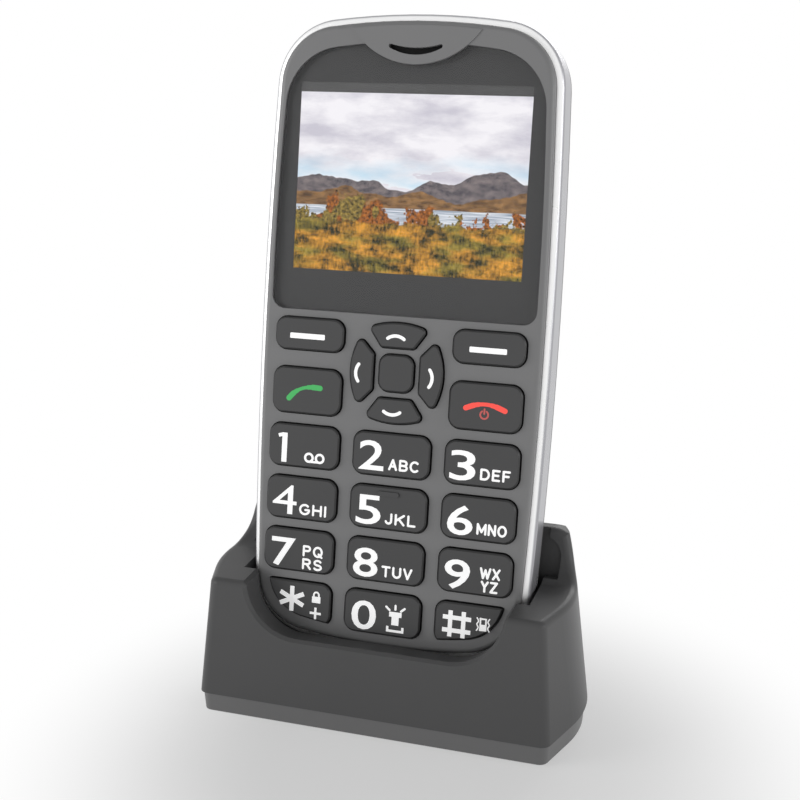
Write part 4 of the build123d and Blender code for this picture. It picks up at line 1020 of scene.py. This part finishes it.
rock = mottle(1.7, 1.3, 16.0, 8.0, 0.62)
far_hills = two_tones(rock, (0.065, 0.060, 0.075), (0.24, 0.20, 0.20))
picture = over(tree, skyline(0.52, 0.26, 1.9, 4.0, 11.4), picture, far_hills)
moor = mottle(2.4, 5.2, 13.0, 8.0, 0.6)
near_hills = two_tones(moor, (0.075, 0.040, 0.020), (0.36, 0.19, 0.070))
picture = over(tree, skyline(0.445, 0.16, 2.7, 4.0, 23.8), picture, near_hills)

ripple = mottle(26.0, 2.2, 5.0)
lake = two_tones(ripple, (0.27, 0.33, 0.42), (0.80, 0.83, 0.88))
picture = over(tree, skyline(0.368, 0.010, 3.0, 1.0, 4.0), picture, lake)
print("sky, hills and lake painted,", len(tree.nodes), "nodes")

# %% [markdown]
# Shrubs have no skyline of their own. Fine leaves are kept wherever a coarser noise is dense enough, and
# that density falls with height, so single crowns stand out against the lake. Grass is a noise drawn out
# upwards, with greener patches where the ground is damp.

# %% Shrubs and grass
leaves = noise_node(tree, place, 52.0, 8.0, 0.75)
hue = mottle(0.6, 8.8, 5.0, 2.0)
rust = two_tones(leaves, (0.012, 0.006, 0.003), (0.62, 0.19, 0.020), 0.40, 0.64)
ochre = two_tones(leaves, (0.014, 0.012, 0.004), (0.46, 0.32, 0.060), 0.40, 0.64)
shrub = over(tree, math_node(tree, "GREATER_THAN", hue, 0.5), rust, ochre)
crowns = mottle(0.75, 6.3, 8.5, 9.0, 0.66)
rise = math_node(tree, "SUBTRACT", parts["Y"], 0.315)
aside = math_node(tree, "SUBTRACT", parts["X"], 0.36)
grove = math_node(tree, "MULTIPLY_ADD", math_node(tree, "MULTIPLY", aside, aside), -3.4, 0.17)
grove = math_node(tree, "MAXIMUM", grove, 0.0)
density = math_node(tree, "ADD", math_node(tree, "MULTIPLY_ADD", rise, -1.75, crowns), grove)
picture = over(tree, math_node(tree, "GREATER_THAN", density, 0.47), picture, shrub)

blades = mottle(0.34, 9.1, 60.0, 6.0, 0.7)
clumps = mottle(2.3, 0.4, 7.0, 6.0, 0.65)
grass = math_node(tree, "MULTIPLY_ADD", clumps, 0.6, math_node(tree, "MULTIPLY", blades, 0.4))
straw = two_tones(grass, (0.018, 0.018, 0.004), (0.80, 0.37, 0.040), 0.42, 0.60)
olive = two_tones(grass, (0.010, 0.014, 0.003), (0.36, 0.27, 0.040), 0.42, 0.60)
dampness = math_node(tree, "MULTIPLY_ADD", mottle(2.8, 4.4, 4.2, 5.0), 7.0, -3.2)
field = over(tree, dampness, straw, olive)
picture = over(tree, skyline(0.285, 0.06, 5.0, 5.0, 61.0, 0.012), picture, field)

feed(tree, shader,
     {"Base Color": (0.02, 0.02, 0.02, 1.0), "Roughness": 0.6, "Specular IOR Level": 0.0,
      "Emission Color": picture, "Emission Strength": 1.0})
print("landscape painted,", len(tree.nodes), "nodes")

# %% [markdown]
# The landscape is painted on a thin sheet that lies in the display's shallow recess. A flat box is all
# the shape that it needs, and its UV map is written corner by corner from its own size.

# %% Picture sheet
sheet_depth = 0.04 * MM
recess_depth = 0.12 * MM
picture_width, picture_height = picture_right - picture_left, picture_high - picture_low
sheet = bmesh.new()
bmesh.ops.create_cube(sheet, size=1.0,
                      matrix=Matrix.Diagonal((picture_width, picture_height, sheet_depth, 1.0)))
layer = sheet.loops.layers.uv.new("picture")
for face in sheet.faces:
    for loop in face.loops:
        loop[layer].uv = (loop.vert.co.x / picture_width + 0.5, loop.vert.co.y / picture_height + 0.5)
mesh = bpy.data.meshes.new("landscape_sheet")
sheet.to_mesh(mesh)
sheet.free()
picture_level = reach("lcd_module", out_dir)[1] - recess_depth + sheet_depth / 2
mesh.transform(face_matrix((picture_left + picture_right) / 2,
                           (picture_low + picture_high) / 2 - bottom_edge, picture_level))
screen = place_object("landscape_sheet", mesh)
mesh.materials.append(screen_finish)
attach(screen, "phone")
print("picture", round(picture_width / MM, 1), "by", round(picture_height / MM, 1), "mm")

# %% [markdown]
# ## Speaker gauze
# Behind the slots in the back cover a round gauze keeps dust out of the speaker. Woven wire is the same
# wire over and over, so Geometry Nodes lay a row of straight wires in each direction and trim none: the
# length of each wire follows from the circle that it has to fill.

# %% Gauze by Geometry Nodes
gauze_tree, given, result = new_group(
    "round_gauze", "GeometryNodeTree",
    [("Geometry", "Geometry"), ("Radius", "Float", 7.0 * MM), ("Wires", "Int", 30),
     ("Wire Width", "Float", 0.15 * MM), ("Wire Finish", "Material")],
    [("Geometry", "Geometry")])
row_end = math_node(gauze_tree, "MULTIPLY", given["Radius"], 0.98)
row_start = math_node(gauze_tree, "MULTIPLY", row_end, -1.0)
ends = [add_node(gauze_tree, "ShaderNodeCombineXYZ", {"X": end_x}) for end_x in (row_start, row_end)]
row = add_node(gauze_tree, "GeometryNodeMeshLine",
               {"Count": given["Wires"], "Start Location": ends[0].outputs[0],
                "Offset": ends[1].outputs[0]},
               mode="END_POINTS")
size = add_node(gauze_tree, "ShaderNodeCombineXYZ",
                {"X": given["Wire Width"], "Y": 1.0, "Z": given["Wire Width"]})
wire = add_node(gauze_tree, "GeometryNodeMeshCube", {"Size": size.outputs[0]})
spot = add_node(gauze_tree, "GeometryNodeInputPosition")
beside = add_node(gauze_tree, "ShaderNodeSeparateXYZ", {0: spot.outputs[0]}).outputs["X"]
square = math_node(gauze_tree, "MULTIPLY", beside, beside)
whole = math_node(gauze_tree, "MULTIPLY", given["Radius"], given["Radius"])
half = math_node(gauze_tree, "SQRT", math_node(gauze_tree, "SUBTRACT", whole, square))
length = add_node(gauze_tree, "ShaderNodeCombineXYZ",
                  {"X": 1.0, "Y": math_node(gauze_tree, "MULTIPLY", half, 2.0), "Z": 1.0})
wires = add_node(gauze_tree, "GeometryNodeInstanceOnPoints",
                 {"Points": row.outputs["Mesh"], "Instance": wire.outputs["Mesh"],
                  "Scale": length.outputs[0]})
weft = add_node(gauze_tree, "GeometryNodeRealizeInstances", {"Geometry": wires.outputs[0]})
warp = add_node(gauze_tree, "GeometryNodeTransform",
                {"Geometry": weft.outputs[0], "Rotation": (0.0, 0.0, math.pi / 2)})
end_tree(gauze_tree, (weft.outputs[0], warp.outputs[0]), given["Wire Finish"], result)
print("tree", gauze_tree.name, len(gauze_tree.nodes), "nodes")

# %% Gauze behind the slots
speaker_rim = 1.6 * MM
gauze_gap = 0.3 * MM
wires_each_way = 30
wire_width = 0.14 * MM
speaker_across, speaker_up = face_centre("loudspeaker")
speaker_left, speaker_right = reach("loudspeaker", across_dir)
gauze_mesh = run_tree(
    "speaker_gauze", bpy.data.meshes.new("speaker_gauze"), gauze_tree,
    {"Radius": (speaker_right - speaker_left) / 2 - speaker_rim, "Wires": wires_each_way,
     "Wire Width": wire_width, "Wire Finish": finishes["mesh_black"]})
gauze_mesh.transform(face_matrix(speaker_across, speaker_up,
                                 reach("loudspeaker", out_dir)[0] + gauze_gap))
gauze = place_object("speaker_gauze", gauze_mesh)
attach(gauze, "phone")
print("gauze", len(gauze_mesh.polygons), "faces")
